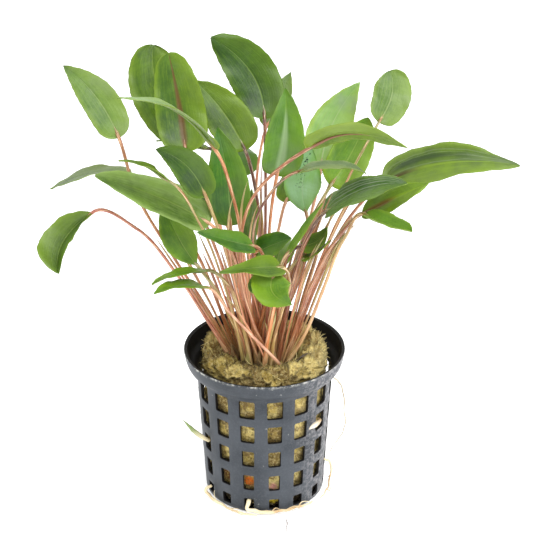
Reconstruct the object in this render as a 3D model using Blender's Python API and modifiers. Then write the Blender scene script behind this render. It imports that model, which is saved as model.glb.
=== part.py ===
"""A potted cryptocoryne: a rosette of stalked leaves in a plug of mineral wool, in a small net pot.

The driving dimensions are in millimetres, and MM turns them into the scene's metres. +Z is up, the
origin is the middle of the pot's underside, and the side of the plant that is looked at faces -Y.
"""

import math

import bmesh
import bpy
import numpy as np
from mathutils import Vector

MM = 0.001

# Net pot
COLUMNS = 15  # columns of windows round the wall
COLUMN_TURN = 9.2  # degrees from the front to the middle of the first column
WALL = 1.0  # thickness of the wall, the lip and the base
HUB_R = 6.0  # solid disc in the middle of the base
SLOT_OUT_R = 15.5  # outer end of the slots in the base
BASE_R = 20.5
HEEL = 0.8  # how far in from the wall the base is flat
NECK_R = 23.3  # the wall just under the lip
NECK_Z = 46.4
LIP_R = 27.5
POT_HEIGHT = 54.5
# lower edge, upper edge and width in degrees of each row of windows, from the base up
WINDOW_ROWS = (
    (1.8, 5.9, 9.7),
    (9.6, 15.7, 10.3),
    (19.4, 25.6, 11.3),
    (29.2, 35.9, 12.6),
    (39.0, 45.9, 13.6),
)
# the lip's outside above the wall: radius and height
LIP = ((23.9, 47.7), (26.3, 49.0), (LIP_R, POT_HEIGHT))

# Mineral wool: radius and height of its outside, from the middle of the floor of the hollow over
# the rim of the plug and down to the middle of its underside
WOOL_COLUMNS = 24
WOOL = (
    (5.0, 44.6), (13.4, 44.7), (14.6, 48.2), (16.4, 51.0), (18.6, 53.4), (20.6, 53.2), (21.3, 50.2),
    (21.0, 42.0), (20.3, 32.0), (19.5, 20.0), (18.8, 9.0), (17.8, 1.7), (9.0, 1.6),
)
# lumps of the torn top: where round the plug (degrees from the front, to the right), how far out,
# how wide and how high
LUMPS = (
    (-62, 17, 7, 1.6), (-28, 19, 6, 1.4), (4, 19, 6, 0.8), (34, 18, 7, 1.8), (72, 17, 7, 2.4),
    (104, 18, 6, 2.8), (140, 18, 7, 2.2), (178, 19, 7, 1.0), (-146, 18, 7, 2.4), (-106, 17, 7, 2.8),
)

# Crown, the short stem that every leaf grows from
CROWN = (12.6, 9.8, 49.2, 3.4)  # half length, half depth, top and thickness
FOOT_Z = 50.1
FOOT_REACH = (11.2, 8.4)
STALK_R = (0.95, 0.62)  # radius at the foot and at the neck
STALK_SPAN = (0, 0.2, 0.44, 0.72, 1)
STALK_GAP = 0.35
UNDER_BLADE = 0.14  # how far the stalk runs on under the blade, as a share of its length
END_SUNK = 0.35  # how far below the blade's middle surface it ends

BLADE_THICK = 0.5
BLADE_ROWS = (0, 0.13, 0.42, 0.75, 1)
BLADE_ACROSS = (-1, -0.5, 0, 0.5, 1)
SMALL_ACROSS = (-1, 0, 1)
SMALL_WIDTH = 9.5  # blades narrower than this are the small ones
# half width along the blade, as a share of the widest
OUTLINES = {
    "pointed": ((0, 0.40), (0.06, 0.68), (0.14, 0.87), (0.3, 1.0), (0.45, 0.97), (0.6, 0.84),
                (0.75, 0.61), (0.88, 0.34), (0.96, 0.13), (1, 0.04)),
    "full": ((0, 0.40), (0.06, 0.66), (0.14, 0.84), (0.3, 0.98), (0.45, 1.0), (0.6, 0.93),
             (0.75, 0.77), (0.88, 0.51), (0.96, 0.24), (1, 0.06)),
    "round": ((0, 0.36), (0.06, 0.62), (0.14, 0.82), (0.3, 0.96), (0.45, 1.0), (0.65, 0.95),
              (0.8, 0.8), (0.9, 0.6), (0.96, 0.38), (1, 0.1)),
    "blunt": ((0, 0.38), (0.06, 0.7), (0.14, 0.9), (0.3, 1.0), (0.45, 0.98), (0.6, 0.92),
              (0.75, 0.8), (0.88, 0.63), (0.96, 0.42), (1, 0.14)),
    "tapered": ((0, 0.10), (0.06, 0.24), (0.14, 0.48), (0.3, 0.86), (0.45, 1.0), (0.6, 0.96),
                (0.75, 0.77), (0.88, 0.47), (0.96, 0.2), (1, 0.05)),
    "wedge": ((0, 0.10), (0.06, 0.27), (0.14, 0.46), (0.3, 0.74), (0.45, 0.9), (0.6, 1.0),
              (0.75, 0.93), (0.88, 0.6), (0.96, 0.25), (1, 0.05)),
    "nosed": ((0, 0.46), (0.06, 0.76), (0.14, 0.96), (0.3, 1.0), (0.45, 0.84), (0.6, 0.56),
              (0.75, 0.36), (0.88, 0.24), (0.96, 0.12), (1, 0.04)),
}
LOBE = 0.13  # how far the two lobes reach back past the neck, as a share of the width
NO_LOBES = ("tapered", "wedge")
LOBE_CURVE = 1.4  # how slowly a lobe leaves the midrib
RIPPLE = 0.035  # height of the ripple in the margins, as a share of the width

# Leaves: neck, middle and tip of the midrib, width, the way the upper side faces, cup of the two
# halves in degrees, colour, and the outline where it isn't the pointed one
LEAVES = {
    "leaf_01": ((-48, 6, 131), (-55.5, 12.5, 142), (-66, 20, 149), 12.5, (0.2, -0.85, 0.5), 10, "pale"),
    "leaf_02": ((-28, 20, 125), (-35.8, 27, 139), (-37, 34, 151), 18.4, (0.0, -0.9, 0.4), 8, "mid", "round"),
    "leaf_03": ((-25.8, 4, 127), (-28, 12, 140), (-31, 14, 156), 17, (0.1, -0.9, 0.35), 10, "mid", "blunt"),
    "leaf_04": ((-16, -16, 136), (-28, -21, 151), (-45, -24, 156), 11, (0.25, 0.25, 0.95), 6, "pale"),
    "leaf_05": ((-7, 10, 125), (-14, 16, 135), (-23, 20, 144), 15, (0.1, -0.85, 0.5), 8, "mid"),
    "leaf_06": ((-11, -8, 106), (-12, -5, 121), (-15, 0, 136), 14, (0.1, -0.95, 0.3), 12, "dark"),
    "leaf_07": ((-19, -16, 120), (-25, -18, 131), (-34, -20, 137), 11, (-0.1, -0.85, 0.5), 10, "dark"),
    "leaf_08": ((0, 18, 133), (-4.8, 26, 145), (-17.6, 28, 156), 16.5, (0.1, -0.9, 0.35), 6, "mid", "full"),
    "leaf_09": ((1, 32, 123), (5, 38, 130), (9, 42, 138), 9, (0.1, -0.9, 0.4), 5, "pale"),
    "leaf_10": ((4.5, 2, 119), (6.8, 2, 133), (7, 6, 147), 14, (0.15, -0.95, 0.2), 16, "dark"),
    "leaf_11": ((-46, 10, 114.6), (-58, 12, 113.8), (-71, 8, 109.8), 12, (0.0, 0.15, 1.0), 8, "grey"),
    "leaf_12": ((-19, -10, 107), (-34, -10, 115.4), (-54, -14, 125), 13.6, (-0.1, -0.5, 0.85), 10, "mid", "full"),
    "leaf_13": ((-30.6, -20, 126.4), (-37.6, -20, 131.4), (-46, -18, 132), 7, (0.0, 0.25, 0.95), 8, "mid"),
    "leaf_14": ((-56, -8, 109), (-64.8, -16, 102.5), (-66, -26, 96), 15, (-0.3, -0.6, 0.7), 42,
                "mid", "wedge"),
    "leaf_15": ((-22, -12, 92), (-28, -8, 100), (-33, -4, 111), 11, (0.0, -0.95, 0.3), 8, "mid", "tapered"),
    "leaf_16": ((-4, -16, 101), (-12, -22, 106), (-21, -28, 112), 9, (0.0, -0.5, 0.85), 8, "dark"),
    "leaf_17": ((-2, -4, 92.8), (4, -6, 96.8), (9, -8, 99.8), 9, (0.1, -0.6, 0.8), 10, "dark"),
    "leaf_18": ((8, -15, 98), (13.2, -15, 107), (19, -13, 115), 3.4, (-0.8, -0.5, 0.3), 6, "bright"),
    "leaf_19": ((5, -20, 95.2), (-3.5, -26, 98), (-14, -32, 99.6), 9.5, (0.0, -0.45, 0.9), 8, "mid", "nosed"),
    "leaf_20": ((3, -24, 94), (3, -30, 91), (9, -36, 90), 13, (0.1, -0.6, 0.8), 6, "bright"),
    "leaf_21": ((13, 0, 93), (18, 0, 95), (21, 0, 100), 7, (-0.4, -0.5, 0.7), 5, "mid"),
    "leaf_22": ((13, -2, 89), (18, -2, 92), (22, -4, 97), 7, (-0.4, 0.1, 0.9), 4, "bright"),
    "leaf_23": ((-19, -18, 93), (-28, -24, 95), (-36, -28, 93), 8, (0.0, 0.25, 1.0), 6, "dark"),
    "leaf_24": ((-19, -22, 89), (-27, -28, 93), (-35, -34, 93), 9, (0.0, 0.1, 1.0), 6, "mid"),
    "leaf_25": ((19, 16, 115), (23, 24, 127), (32, 28, 140), 15, (0.1, -0.9, 0.35), 8, "pale"),
    "leaf_26": ((15, -17.2, 136.4), (28, -21.4, 143), (45, -26, 140), 11, (-0.2, 0.85, 0.5), 8, "mid"),
    "leaf_27": ((14, 8, 101.4), (12.8, 12, 111), (16, 16, 121), 12.6, (0.0, -1.0, 0.1), 5, "grey", "tapered"),
    "leaf_28": ((12, -6, 123), (23, -8, 126), (33, -10, 124), 9, (0.0, 0.1, 1.0), 6, "dark"),
    "leaf_29": ((23, 8, 113), (29, 14, 120.5), (34.5, 18, 131.5), 14, (0.1, -0.95, 0.25), 8, "mid", "full"),
    "leaf_30": ((38.6, 14, 132.9), (42.4, 21, 139), (41.8, 26, 145), 13, (0.1, -0.9, 0.4), 6, "pale", "round"),
    "leaf_31": ((41, 2, 116), (60, -2, 124), (83, -4, 124), 17, (0.1, -0.4, 0.9), 10, "mid"),
    "leaf_32": ((21, -8, 110), (33, -14, 120), (46, -18, 124), 14, (0.0, -0.3, 0.95), 8, "grey"),
    "leaf_33": ((33, -8, 109), (43, -11, 116), (53, -11, 121), 10, (0.1, -0.4, 0.9), 8, "mid"),
    "leaf_34": ((33, -16, 112), (41, -22, 111), (47, -28, 112), 8, (0.1, -0.2, 1.0), 30, "bright", "full"),
    "leaf_35": ((-5, -2, 94), (-4, 0, 104), (-4, 2, 113), 8, (-0.7, -0.6, 0.2), 6, "mid"),
    "leaf_36": ((4, 18, 76), (6, 30, 78), (8, 40, 74), 11, (0.0, 0.4, 0.9), 8, "bright"),
    "leaf_37": ((-19, 12, 123), (-27, 14, 124), (-36, 16, 124), 9, (0.0, 0.4, 0.9), 6, "mid"),
    "leaf_38": ((-1, -18, 91), (-3, -22, 89), (-3, -26, 89), 5, (0.0, -0.7, 0.7), 5, "dark"),
    "leaf_39": ((-18, 22, 97), (-30, 32, 98), (-40, 40, 93), 13, (-0.2, 0.4, 0.9), 8, "mid"),
    "leaf_40": ((-8, 26, 108), (-12, 40, 110), (-16, 52, 104), 15, (0.0, 0.5, 0.85), 8, "dark"),
    "leaf_41": ((8, 26, 98), (14, 38, 101), (20, 50, 96), 13, (0.1, 0.5, 0.85), 8, "mid"),
    "leaf_42": ((20, 20, 96), (32, 28, 99), (43, 34, 97), 13, (0.3, 0.4, 0.85), 8, "pale"),
}

# Stalks that stand away from the shortest way: how far their middle is pushed, and their own foot
STALK_BOWS = {"leaf_01": (-7, 0, 0), "leaf_14": (0, 0, -7), "leaf_24": (0, -3, -6),
              "leaf_26": (-16, -3.5, 0), "leaf_28": (-7, -5, 0), "leaf_29": (0, 3, 0), "leaf_34": (6, 0, -8)}
STALK_FEET = {"leaf_24": (6.5, -7.6)}

# Roots: the radius of each one, and the line that it follows
ROOTS = {
    "root_front": (0.75, ((-5, -18.0, 4.4), (-5.6, -20.8, 4.8), (-6.0, -22.0, 3.2), (-3.4, -21.6, 1.9),
                          (2, -21.8, 1.6), (8, -20.4, 1.6), (13, -17.7, 1.3), (16.6, -14.4, 0.9))),
    "root_left": (0.6, ((-18.4, -10.6, 5.0), (-20.4, -11.4, 4.4), (-19.6, -11.2, 2.0), (-16.2, -14.2, 0.8),
                        (-12.0, -18.2, 0.7), (-6.6, -21.4, 0.7), (-2.6, -22.6, 0.7))),
    "root_right": (0.45, ((20.6, -4.2, 12.0), (22.6, -4.4, 11.0), (22.9, -4.8, 6.0), (21.9, -6.6, 1.4),
                          (20.4, -9.6, 0.8), (19.4, -11.6, 0.8))),
    "root_loop": (0.35, ((21.6, 5.0, 41.0), (25.4, 5.2, 38.0), (28.0, 4.6, 27.0), (27.6, 3.6, 19.0),
                         (24.4, 2.0, 14.0), (22.4, -1.0, 11.6))),
    "root_thread": (0.4, ((7.6, -24.8, 0.5), (7.8, -27.4, 0.5), (7.5, -30.2, 0.5), (7.6, -33.0, 0.5))),
}
ROOT_END = 0.5  # how thin a root's end is, as a share of its radius
SPROUT = ((-19.0, -9.1, 22.4), (-22.1, -10.6, 25.4), (-27.8, -13.3, 33.4))
BUD = ((17.9, -12.0, 33.2), (18.9, -14.3, 34.0), (15.2, -18.9, 33.2))
STRAW = ((9.0, -10.6, 52.6), (11.8, -10.0, 55.4), (14.6, -9.0, 57.0))

COLOURS = {
    "mid": (0.09, 0.22, 0.04),
    "dark": (0.05, 0.15, 0.03),
    "bright": (0.13, 0.32, 0.05),
    "pale": (0.16, 0.30, 0.09),
    "grey": (0.16, 0.24, 0.14),
}


def material(name, colour, roughness):
    made = bpy.data.materials.new(name)
    made.use_nodes = True
    shader = made.node_tree.nodes["Principled BSDF"]
    shader.inputs["Base Color"].default_value = (*colour, 1)
    shader.inputs["Roughness"].default_value = roughness
    shader.inputs["Metallic"].default_value = 0
    made.diffuse_color = (*colour, 1)
    return made


def put(name, bm, look, home):
    """Closes a bmesh into an object of its own name in the collection."""
    mesh = bpy.data.meshes.new(name)
    bm.to_mesh(mesh)
    bm.free()
    made = bpy.data.objects.new(name, mesh)
    made.data.materials.append(look)
    home.objects.link(made)
    return made


def wrapped_grid(columns, rows, place):
    """A grid rolled into a closed wall: place(column, row) gives each corner in millimetres."""
    bm = bmesh.new()
    bmesh.ops.create_grid(bm, x_segments=columns, y_segments=rows - 1, size=1)
    for corner in bm.verts:
        column = round((corner.co.x + 1) / 2 * columns)
        row = round((corner.co.y + 1) / 2 * (rows - 1))
        corner.co = Vector(place(column % columns, row)) * MM
    bmesh.ops.remove_doubles(bm, verts=bm.verts, dist=1e-6)
    return bm


def around(radius, degrees, height):
    """A point by its distance from the axis, its angle from the front and its height."""
    turn = math.radians(degrees)
    return (radius * math.sin(turn), -radius * math.cos(turn), height)


def pot_profile():
    """Radius, height and window width of each ring of corners, from the hub out and up."""
    first = WINDOW_ROWS[0][2]
    rings = [(HUB_R, 0, first), (SLOT_OUT_R, 0, first), (BASE_R - HEEL, 0, first)]
    for low, high, width in WINDOW_ROWS:
        for height in (low, high):
            rings.append((BASE_R + (NECK_R - BASE_R) * height / NECK_Z, height, width))
    rings += [(radius, height, WINDOW_ROWS[-1][2]) for radius, height in LIP]
    return rings


def net_pot(look, home):
    """One wall with its windows and base slots left out, thickened inwards."""
    rings = pot_profile()
    pitch = 360 / COLUMNS

    def place(column, row):
        radius, height, width = rings[row]
        side = 1 if column % 2 else -1
        return around(radius, COLUMN_TURN + pitch * (column // 2) + side * width / 2, height)

    bm = wrapped_grid(2 * COLUMNS, len(rings), place)
    hub = [edge for edge in bm.edges if all(v.co.xy.length < (HUB_R + 0.1) * MM for v in edge.verts)]
    bmesh.ops.contextual_create(bm, geom=hub)
    open_faces = []
    for face in bm.faces:
        middle = face.calc_center_median() / MM
        turn = math.degrees(math.atan2(middle.x, -middle.y)) - COLUMN_TURN
        off = (turn + pitch / 2) % pitch - pitch / 2
        in_row = any(low < middle.z < high for low, high, _ in WINDOW_ROWS)
        in_slot = abs(middle.z) < 0.1 and HUB_R < math.hypot(middle.x, middle.y) < SLOT_OUT_R
        if abs(off) < 1 and (in_row or in_slot):
            open_faces.append(face)
    bmesh.ops.delete(bm, geom=open_faces, context="FACES")
    bmesh.ops.recalc_face_normals(bm, faces=bm.faces)
    if sum(face.normal.dot(Vector((*face.calc_center_median().xy, 0))) for face in bm.faces) < 0:
        bmesh.ops.reverse_faces(bm, faces=bm.faces)
    pot = put("net_pot", bm, look, home)
    shell = pot.modifiers.new("wall", "SOLIDIFY")
    shell.thickness = WALL * MM
    shell.offset = -1
    shell.use_even_offset = True
    return pot


def wool_point(column, row):
    """A corner of the plug, pushed in and out by hand-placed lumps and a slow waviness."""
    radius, height = WOOL[row]
    turn = 360 / WOOL_COLUMNS * column
    wave = math.sin(math.radians(turn * 5 + row * 80)) + 0.6 * math.sin(math.radians(turn * 11 - row * 50))
    if 1 < row < len(WOOL) - 2:
        radius += 0.22 * wave
    if 1 < row < 7:
        height += 0.3 * math.sin(math.radians(turn * 7 + row * 65))
        for lump_turn, out, wide, high in LUMPS:
            x, y, _ = around(radius, turn, 0)
            cx, cy, _ = around(out, lump_turn, 0)
            near = math.exp(-((x - cx) ** 2 + (y - cy) ** 2) / (wide / 2) ** 2)
            height += high * near * (1 if row > 2 else 0.4)
    return around(radius, turn, height)


def mineral_wool(look, home):
    bm = wrapped_grid(WOOL_COLUMNS, len(WOOL), wool_point)
    bmesh.ops.holes_fill(bm, edges=bm.edges, sides=WOOL_COLUMNS)
    bmesh.ops.recalc_face_normals(bm, faces=bm.faces)
    wool = put("mineral_wool", bm, look, home)
    wool.data.shade_smooth()
    return wool


def crown(look, home):
    """A low bevelled block, longer than deep, in the hollow of the wool."""
    length, depth, top, thick = CROWN
    bm = bmesh.new()
    bmesh.ops.create_cone(bm, cap_ends=True, segments=16, radius1=0.86 * MM, radius2=MM, depth=thick * MM)
    for corner in bm.verts:
        corner.co.x *= length
        corner.co.y *= depth
        corner.co.z += (top - thick / 2) * MM
    return put("crown", bm, look, home)


def outline_name(leaf):
    return leaf[7] if len(leaf) > 7 else "pointed"


def outline(leaf, share):
    """Half width at a share of the blade's length, as a share of the widest."""
    return float(np.interp(share, *zip(*OUTLINES[outline_name(leaf)])))


def lobe(leaf):
    """How far the lobes of a leaf reach back, as a share of its width."""
    return 0 if outline_name(leaf) in NO_LOBES else LOBE


def midrib(leaf, share):
    """Point and direction of the midrib, a parabola through its neck, middle and tip."""
    neck, middle, tip = (Vector(p) for p in leaf[:3])
    pull = 2 * middle - (neck + tip) / 2
    point = neck * (1 - share) ** 2 + pull * 2 * share * (1 - share) + tip * share ** 2
    along = (pull - neck) * (1 - share) + (tip - pull) * share
    return point, along.normalized()


def blade_axes(leaf, share):
    """Where the midrib is at a share of its length, and the ways along, across and up."""
    point, along = midrib(leaf, share)
    face = Vector(leaf[4])
    up = (face - along * face.dot(along)).normalized()
    return point, along, along.cross(up), up


def blade_point(leaf, share, side):
    """A point of the blade: side runs from -1 at one edge over 0 at the midrib to 1."""
    width, cup = leaf[3], math.radians(leaf[5])
    point, along, across, up = blade_axes(leaf, share)
    out = width / 2 * outline(leaf, share) * side
    back = lobe(leaf) * width * abs(side) ** LOBE_CURVE * (1 - share) ** 3
    ripple = RIPPLE * width * side * side * math.sin(11 * share + 3 * side + width)
    return point + across * out * math.cos(cup) + up * (abs(out) * math.sin(cup) + ripple) - along * back


def stalk_line(leaf, foot, bow):
    """A stalk that leaves the crown steeply and comes into the neck along the midrib."""
    neck, along = midrib(leaf, 0)
    reach = neck - foot
    start = Vector((reach.x * 0.5, reach.y * 0.5, reach.z)).normalized()
    first = foot + start * reach.length * 0.36 + bow
    second = neck - along * reach.length * 0.26 + bow
    line = []
    for share in STALK_SPAN:
        rest = 1 - share
        line.append(foot * rest ** 3 + first * 3 * rest ** 2 * share
                    + second * 3 * rest * share ** 2 + neck * share ** 3)
    end, _, _, up = blade_axes(leaf, UNDER_BLADE)
    line.append(end - up * END_SUNK)
    return line


def nearest(a, b, c, d):
    """Shares along segments a-b and c-d of their nearest points, for arrays of segments."""
    u, v, w = b - a, d - c, a - c
    uu, uv, vv = (u * u).sum(-1), (u * v).sum(-1), (v * v).sum(-1)
    uw, vw = (u * w).sum(-1), (v * w).sum(-1)
    flat = uu * vv - uv * uv
    s = np.clip(np.where(flat > 1e-9, (uv * vw - vv * uw) / np.maximum(flat, 1e-9), 0.5), 0, 1)
    t = np.clip((uv * s + vw) / vv, 0, 1)
    s = np.clip((uv * t - uw) / uu, 0, 1)
    return s, t


def keep_apart(lines, gap, turns=260):
    """Moves stalks that would run into each other apart, a little at a time."""
    points = np.array([[tuple(p) for p in line] for line in lines])
    count, last = points.shape[0], points.shape[1] - 1
    loose = np.ones((1, last + 1, 1))
    loose[0, -2:] = 0
    one, two = np.triu_indices(count, 1)
    size = np.interp(np.arange(last) + 0.5, [0, last], STALK_R)
    for _ in range(turns):
        a, b = points[one][:, :-1, None], points[one][:, 1:, None]
        c, d = points[two][:, None, :-1], points[two][:, None, 1:]
        s, t = nearest(a, b, c, d)
        off = (a + (b - a) * s[..., None]) - (c + (d - c) * t[..., None])
        apart = np.linalg.norm(off, axis=-1)
        short = np.clip(size[:, None] + size[None, :] + gap - apart, 0, None)
        if short.max() < 0.02:
            break
        push = off / np.maximum(apart, 1e-6)[..., None] * (short * 0.3)[..., None]
        move = np.zeros_like(points)
        for k in range(last):
            for m in range(last):
                p, sk, tm = push[:, k, m], s[:, k, m, None], t[:, k, m, None]
                np.add.at(move[:, k], one, p * (1 - sk))
                np.add.at(move[:, k + 1], one, p * sk)
                np.add.at(move[:, m], two, -p * (1 - tm))
                np.add.at(move[:, m + 1], two, -p * tm)
        move[:, 0, 2] = 0
        points += move * loose
    return [[Vector(p) for p in line] for line in points]


def stalk_lines():
    """The line of every stalk, from its own place on the crown to its blade."""
    lines = []
    for name, leaf in LEAVES.items():
        neck = Vector(leaf[0])
        foot = Vector((*STALK_FEET.get(name, (neck.x * 0.22, neck.y * 0.34)), 0))
        over = math.hypot(foot.x / FOOT_REACH[0], foot.y / FOOT_REACH[1])
        if over > 1:
            foot /= over
        foot.z = FOOT_Z
        lines.append(stalk_line(leaf, foot, Vector(STALK_BOWS.get(name, (0, 0, 0)))))
    return lines


def tube(name, line, radii, look, home, sides=0):
    """A curve with a round bevel and closed ends along a line of points in millimetres."""
    curve = bpy.data.curves.new(name, "CURVE")
    curve.dimensions = "3D"
    curve.bevel_depth = MM
    curve.bevel_resolution = sides
    curve.use_fill_caps = True
    spline = curve.splines.new("POLY")
    spline.points.add(len(line) - 1)
    for place, (point, radius) in enumerate(zip(line, radii)):
        spline.points[place].co = (*(Vector(point) * MM), 1)
        spline.points[place].radius = radius
    made = bpy.data.objects.new(name, curve)
    made.data.materials.append(look)
    home.objects.link(made)
    return made


def as_mesh(curve_object, home):
    """The same tube as a closed mesh, so that it can be joined to a blade."""
    bpy.context.view_layer.update()
    graph = bpy.context.evaluated_depsgraph_get()
    mesh = bpy.data.meshes.new_from_object(curve_object.evaluated_get(graph))
    bm = bmesh.new()
    bm.from_mesh(mesh)
    bmesh.ops.remove_doubles(bm, verts=bm.verts, dist=1e-6)
    bmesh.ops.recalc_face_normals(bm, faces=bm.faces)
    bm.to_mesh(mesh)
    bm.free()
    name = curve_object.name
    place = curve_object.matrix_world.copy()
    bpy.data.objects.remove(curve_object)
    made = bpy.data.objects.new(name, mesh)
    made.matrix_world = place
    home.objects.link(made)
    return made


def leaf_object(name, leaf, line, looks, home, joined):
    """A blade with a thickness of its own, and its stalk joined to it."""
    sides = SMALL_ACROSS if leaf[3] < SMALL_WIDTH else BLADE_ACROSS
    rows, across = len(BLADE_ROWS), len(sides)
    bm = bmesh.new()
    bmesh.ops.create_grid(bm, x_segments=across - 1, y_segments=rows - 1, size=1)
    for corner in bm.verts:
        column = round((corner.co.x + 1) / 2 * (across - 1))
        row = round((corner.co.y + 1) / 2 * (rows - 1))
        corner.co = blade_point(leaf, BLADE_ROWS[row], sides[column]) * MM
    blade = put(name, bm, looks[leaf[6]], home)
    thick = blade.modifiers.new("thickness", "SOLIDIFY")
    thick.thickness = BLADE_THICK * MM
    thick.offset = 0
    radii = [STALK_R[0] + (STALK_R[1] - STALK_R[0]) * k / (len(line) - 1) for k in range(len(line))]
    stalk = as_mesh(tube(name + "_stalk", line, radii, looks[leaf[6]], joined), joined)
    stalk.hide_render = True
    stalk.display_type = "WIRE"
    union = blade.modifiers.new("stalk", "BOOLEAN")
    union.operation = "UNION"
    union.object = stalk
    return blade


def main():
    for old in list(bpy.data.objects):
        bpy.data.objects.remove(old)
    home = bpy.data.collections.new("potted_cryptocoryne")
    joined = bpy.data.collections.new("stalks_joined_to_blades")
    for collection in (home, joined):
        bpy.context.scene.collection.children.link(collection)

    net_pot(material("pot_plastic", (0.045, 0.055, 0.07), 0.55), home)
    mineral_wool(material("mineral_wool", (0.22, 0.16, 0.05), 0.95), home)
    crown(material("crown", (0.06, 0.035, 0.02), 0.8), home)

    looks = {key: material("leaf_" + key, colour, 0.4) for key, colour in COLOURS.items()}
    lines = keep_apart(stalk_lines(), STALK_GAP)
    for (name, leaf), line in zip(LEAVES.items(), lines):
        leaf_object(name, leaf, line, looks, home, joined)

    root = material("root", (0.55, 0.38, 0.22), 0.6)
    for name, (radius, line) in ROOTS.items():
        ends = [radius] * (len(line) - 1) + [radius * ROOT_END]
        tube(name, line, ends, root, home)
    tube("sprout", SPROUT, (0.8, 0.9, 0.15), material("sprout", (0.5, 0.55, 0.3), 0.5), home)
    tube("bud", BUD, (0.6, 0.7, 0.8), material("bud", (0.75, 0.7, 0.6), 0.5), home)
    tube("straw", STRAW, (0.5, 0.45, 0.3), material("straw", (0.03, 0.02, 0.012), 0.8), home)


main()
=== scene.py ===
# %% [markdown]
# # A potted cryptocoryne
#
# This plant is sold for aquariums: a rosette of stalked leaves, rooted in a plug of mineral wool that
# sits in a small net pot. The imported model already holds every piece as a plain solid. Here each of
# them gets the finer shape and the skin of the real one, at the same place and at the same size.

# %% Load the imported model
import math
import random

import bmesh
import bpy
import numpy as np
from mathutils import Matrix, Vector, noise


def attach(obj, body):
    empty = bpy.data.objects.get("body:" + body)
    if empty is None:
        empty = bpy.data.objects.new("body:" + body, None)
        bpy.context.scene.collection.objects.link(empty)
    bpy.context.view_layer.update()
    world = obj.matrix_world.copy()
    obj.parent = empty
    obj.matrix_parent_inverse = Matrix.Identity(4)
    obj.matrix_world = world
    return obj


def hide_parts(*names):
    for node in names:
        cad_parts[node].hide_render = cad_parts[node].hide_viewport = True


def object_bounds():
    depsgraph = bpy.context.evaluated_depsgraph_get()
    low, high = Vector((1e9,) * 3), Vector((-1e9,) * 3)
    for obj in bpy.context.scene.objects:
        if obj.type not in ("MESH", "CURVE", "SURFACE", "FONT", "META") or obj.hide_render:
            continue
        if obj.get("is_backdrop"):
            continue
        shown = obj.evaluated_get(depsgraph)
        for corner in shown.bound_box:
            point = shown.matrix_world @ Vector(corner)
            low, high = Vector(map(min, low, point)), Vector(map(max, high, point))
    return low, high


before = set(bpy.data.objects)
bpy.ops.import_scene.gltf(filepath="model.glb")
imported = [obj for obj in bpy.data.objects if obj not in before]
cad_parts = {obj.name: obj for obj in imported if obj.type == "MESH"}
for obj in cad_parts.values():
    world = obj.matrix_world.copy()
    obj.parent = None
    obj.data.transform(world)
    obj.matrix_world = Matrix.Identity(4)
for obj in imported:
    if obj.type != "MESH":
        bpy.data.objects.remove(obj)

# the vector noise starts from the clock unless it is seeded, and the tufts and the roots use it
noise.seed_set(9)

SOLID_BOX = [list(corner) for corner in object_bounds()]
print(len(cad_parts), "solids, box in metres", SOLID_BOX)

# %% [markdown]
# ## Camera, light and floor
#
# The plant is seen from the front and a little from above, through a long lens, so that its far leaves
# are hardly smaller than its near ones. A light tent makes the look: light from everywhere, one large
# lamp over the plant for shape, and a white floor that throws light up under the leaves. They are made
# first, because every colour chosen later is judged under them.

# %% The camera
MM = 0.001
ELEVATION = math.radians(27.5)
DISTANCE = 700 * MM
TARGET = Vector((3.6, 0, 82)) * MM
SENSOR_WIDTH = 36
FOCAL_LENGTH = 136.8

back = Vector((0, -math.cos(ELEVATION), math.sin(ELEVATION)))
camera = bpy.data.objects.new("camera", bpy.data.cameras.new("camera"))
camera.data.sensor_width = SENSOR_WIDTH
camera.data.lens = FOCAL_LENGTH
camera.data.clip_start, camera.data.clip_end = 0.05, 10
camera.location = TARGET + back * DISTANCE
camera.rotation_mode = "QUATERNION"
camera.rotation_quaternion = (-back).to_track_quat("-Z", "Y")
bpy.context.scene.collection.objects.link(camera)
bpy.context.scene.camera = camera
bpy.context.scene.view_settings.view_transform = "Standard"
print("camera at", [round(v, 3) for v in camera.location])

# %% The light tent
world = bpy.data.worlds.new("light_tent")
world.use_nodes = True
world.node_tree.nodes["Background"].inputs["Color"].default_value = (1, 1, 1, 1)
world.node_tree.nodes["Background"].inputs["Strength"].default_value = 1.0
bpy.context.scene.world = world


def lamp(name, place, aim, size, watts, colour=(1, 1, 1)):
    """A square soft lamp that looks at a point."""
    light = bpy.data.lights.new(name, "AREA")
    light.size, light.energy, light.color = size, watts, colour
    made = bpy.data.objects.new(name, light)
    made.location = place
    made.rotation_mode = "QUATERNION"
    made.rotation_quaternion = (Vector(aim) - Vector(place)).to_track_quat("-Z", "Y")
    bpy.context.scene.collection.objects.link(made)
    return made


HEART = (0, 0, 90 * MM)
lamp("lamp_over", (0.30, -0.40, 0.95), HEART, 0.6, 7.0)
lamp("lamp_right", (0.80, -0.30, 0.45), HEART, 0.35, 2.4)
lamp("lamp_left", (-0.8, 0.1, 0.45), HEART, 0.5, 1.4)
print("three lamps")

# %% [markdown]
# ## Tools for materials
#
# A material is a small tree of nodes. These helpers keep each line short: one makes a node and joins
# its inputs, and the others are the few kinds of sums, noises and blends that every skin here uses.

# %% Node helpers
def add(tree, kind, inputs=None, **settings):
    """A node, with its inputs set by name or number to values or to other nodes' outputs."""
    node = tree.nodes.new(kind)
    for name, value in settings.items():
        setattr(node, name, value)
    for key, value in (inputs or {}).items():
        if isinstance(value, bpy.types.NodeSocket):
            tree.links.new(value, node.inputs[key])
        else:
            node.inputs[key].default_value = value
    return node


def calc(tree, how, first, second=0.0, third=0.0):
    return add(tree, "ShaderNodeMath", {0: first, 1: second, 2: third}, operation=how).outputs[0]


def blend(tree, share, first, second):
    return add(tree, "ShaderNodeMix", {0: share, 6: first, 7: second}, data_type="RGBA").outputs[2]


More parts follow.
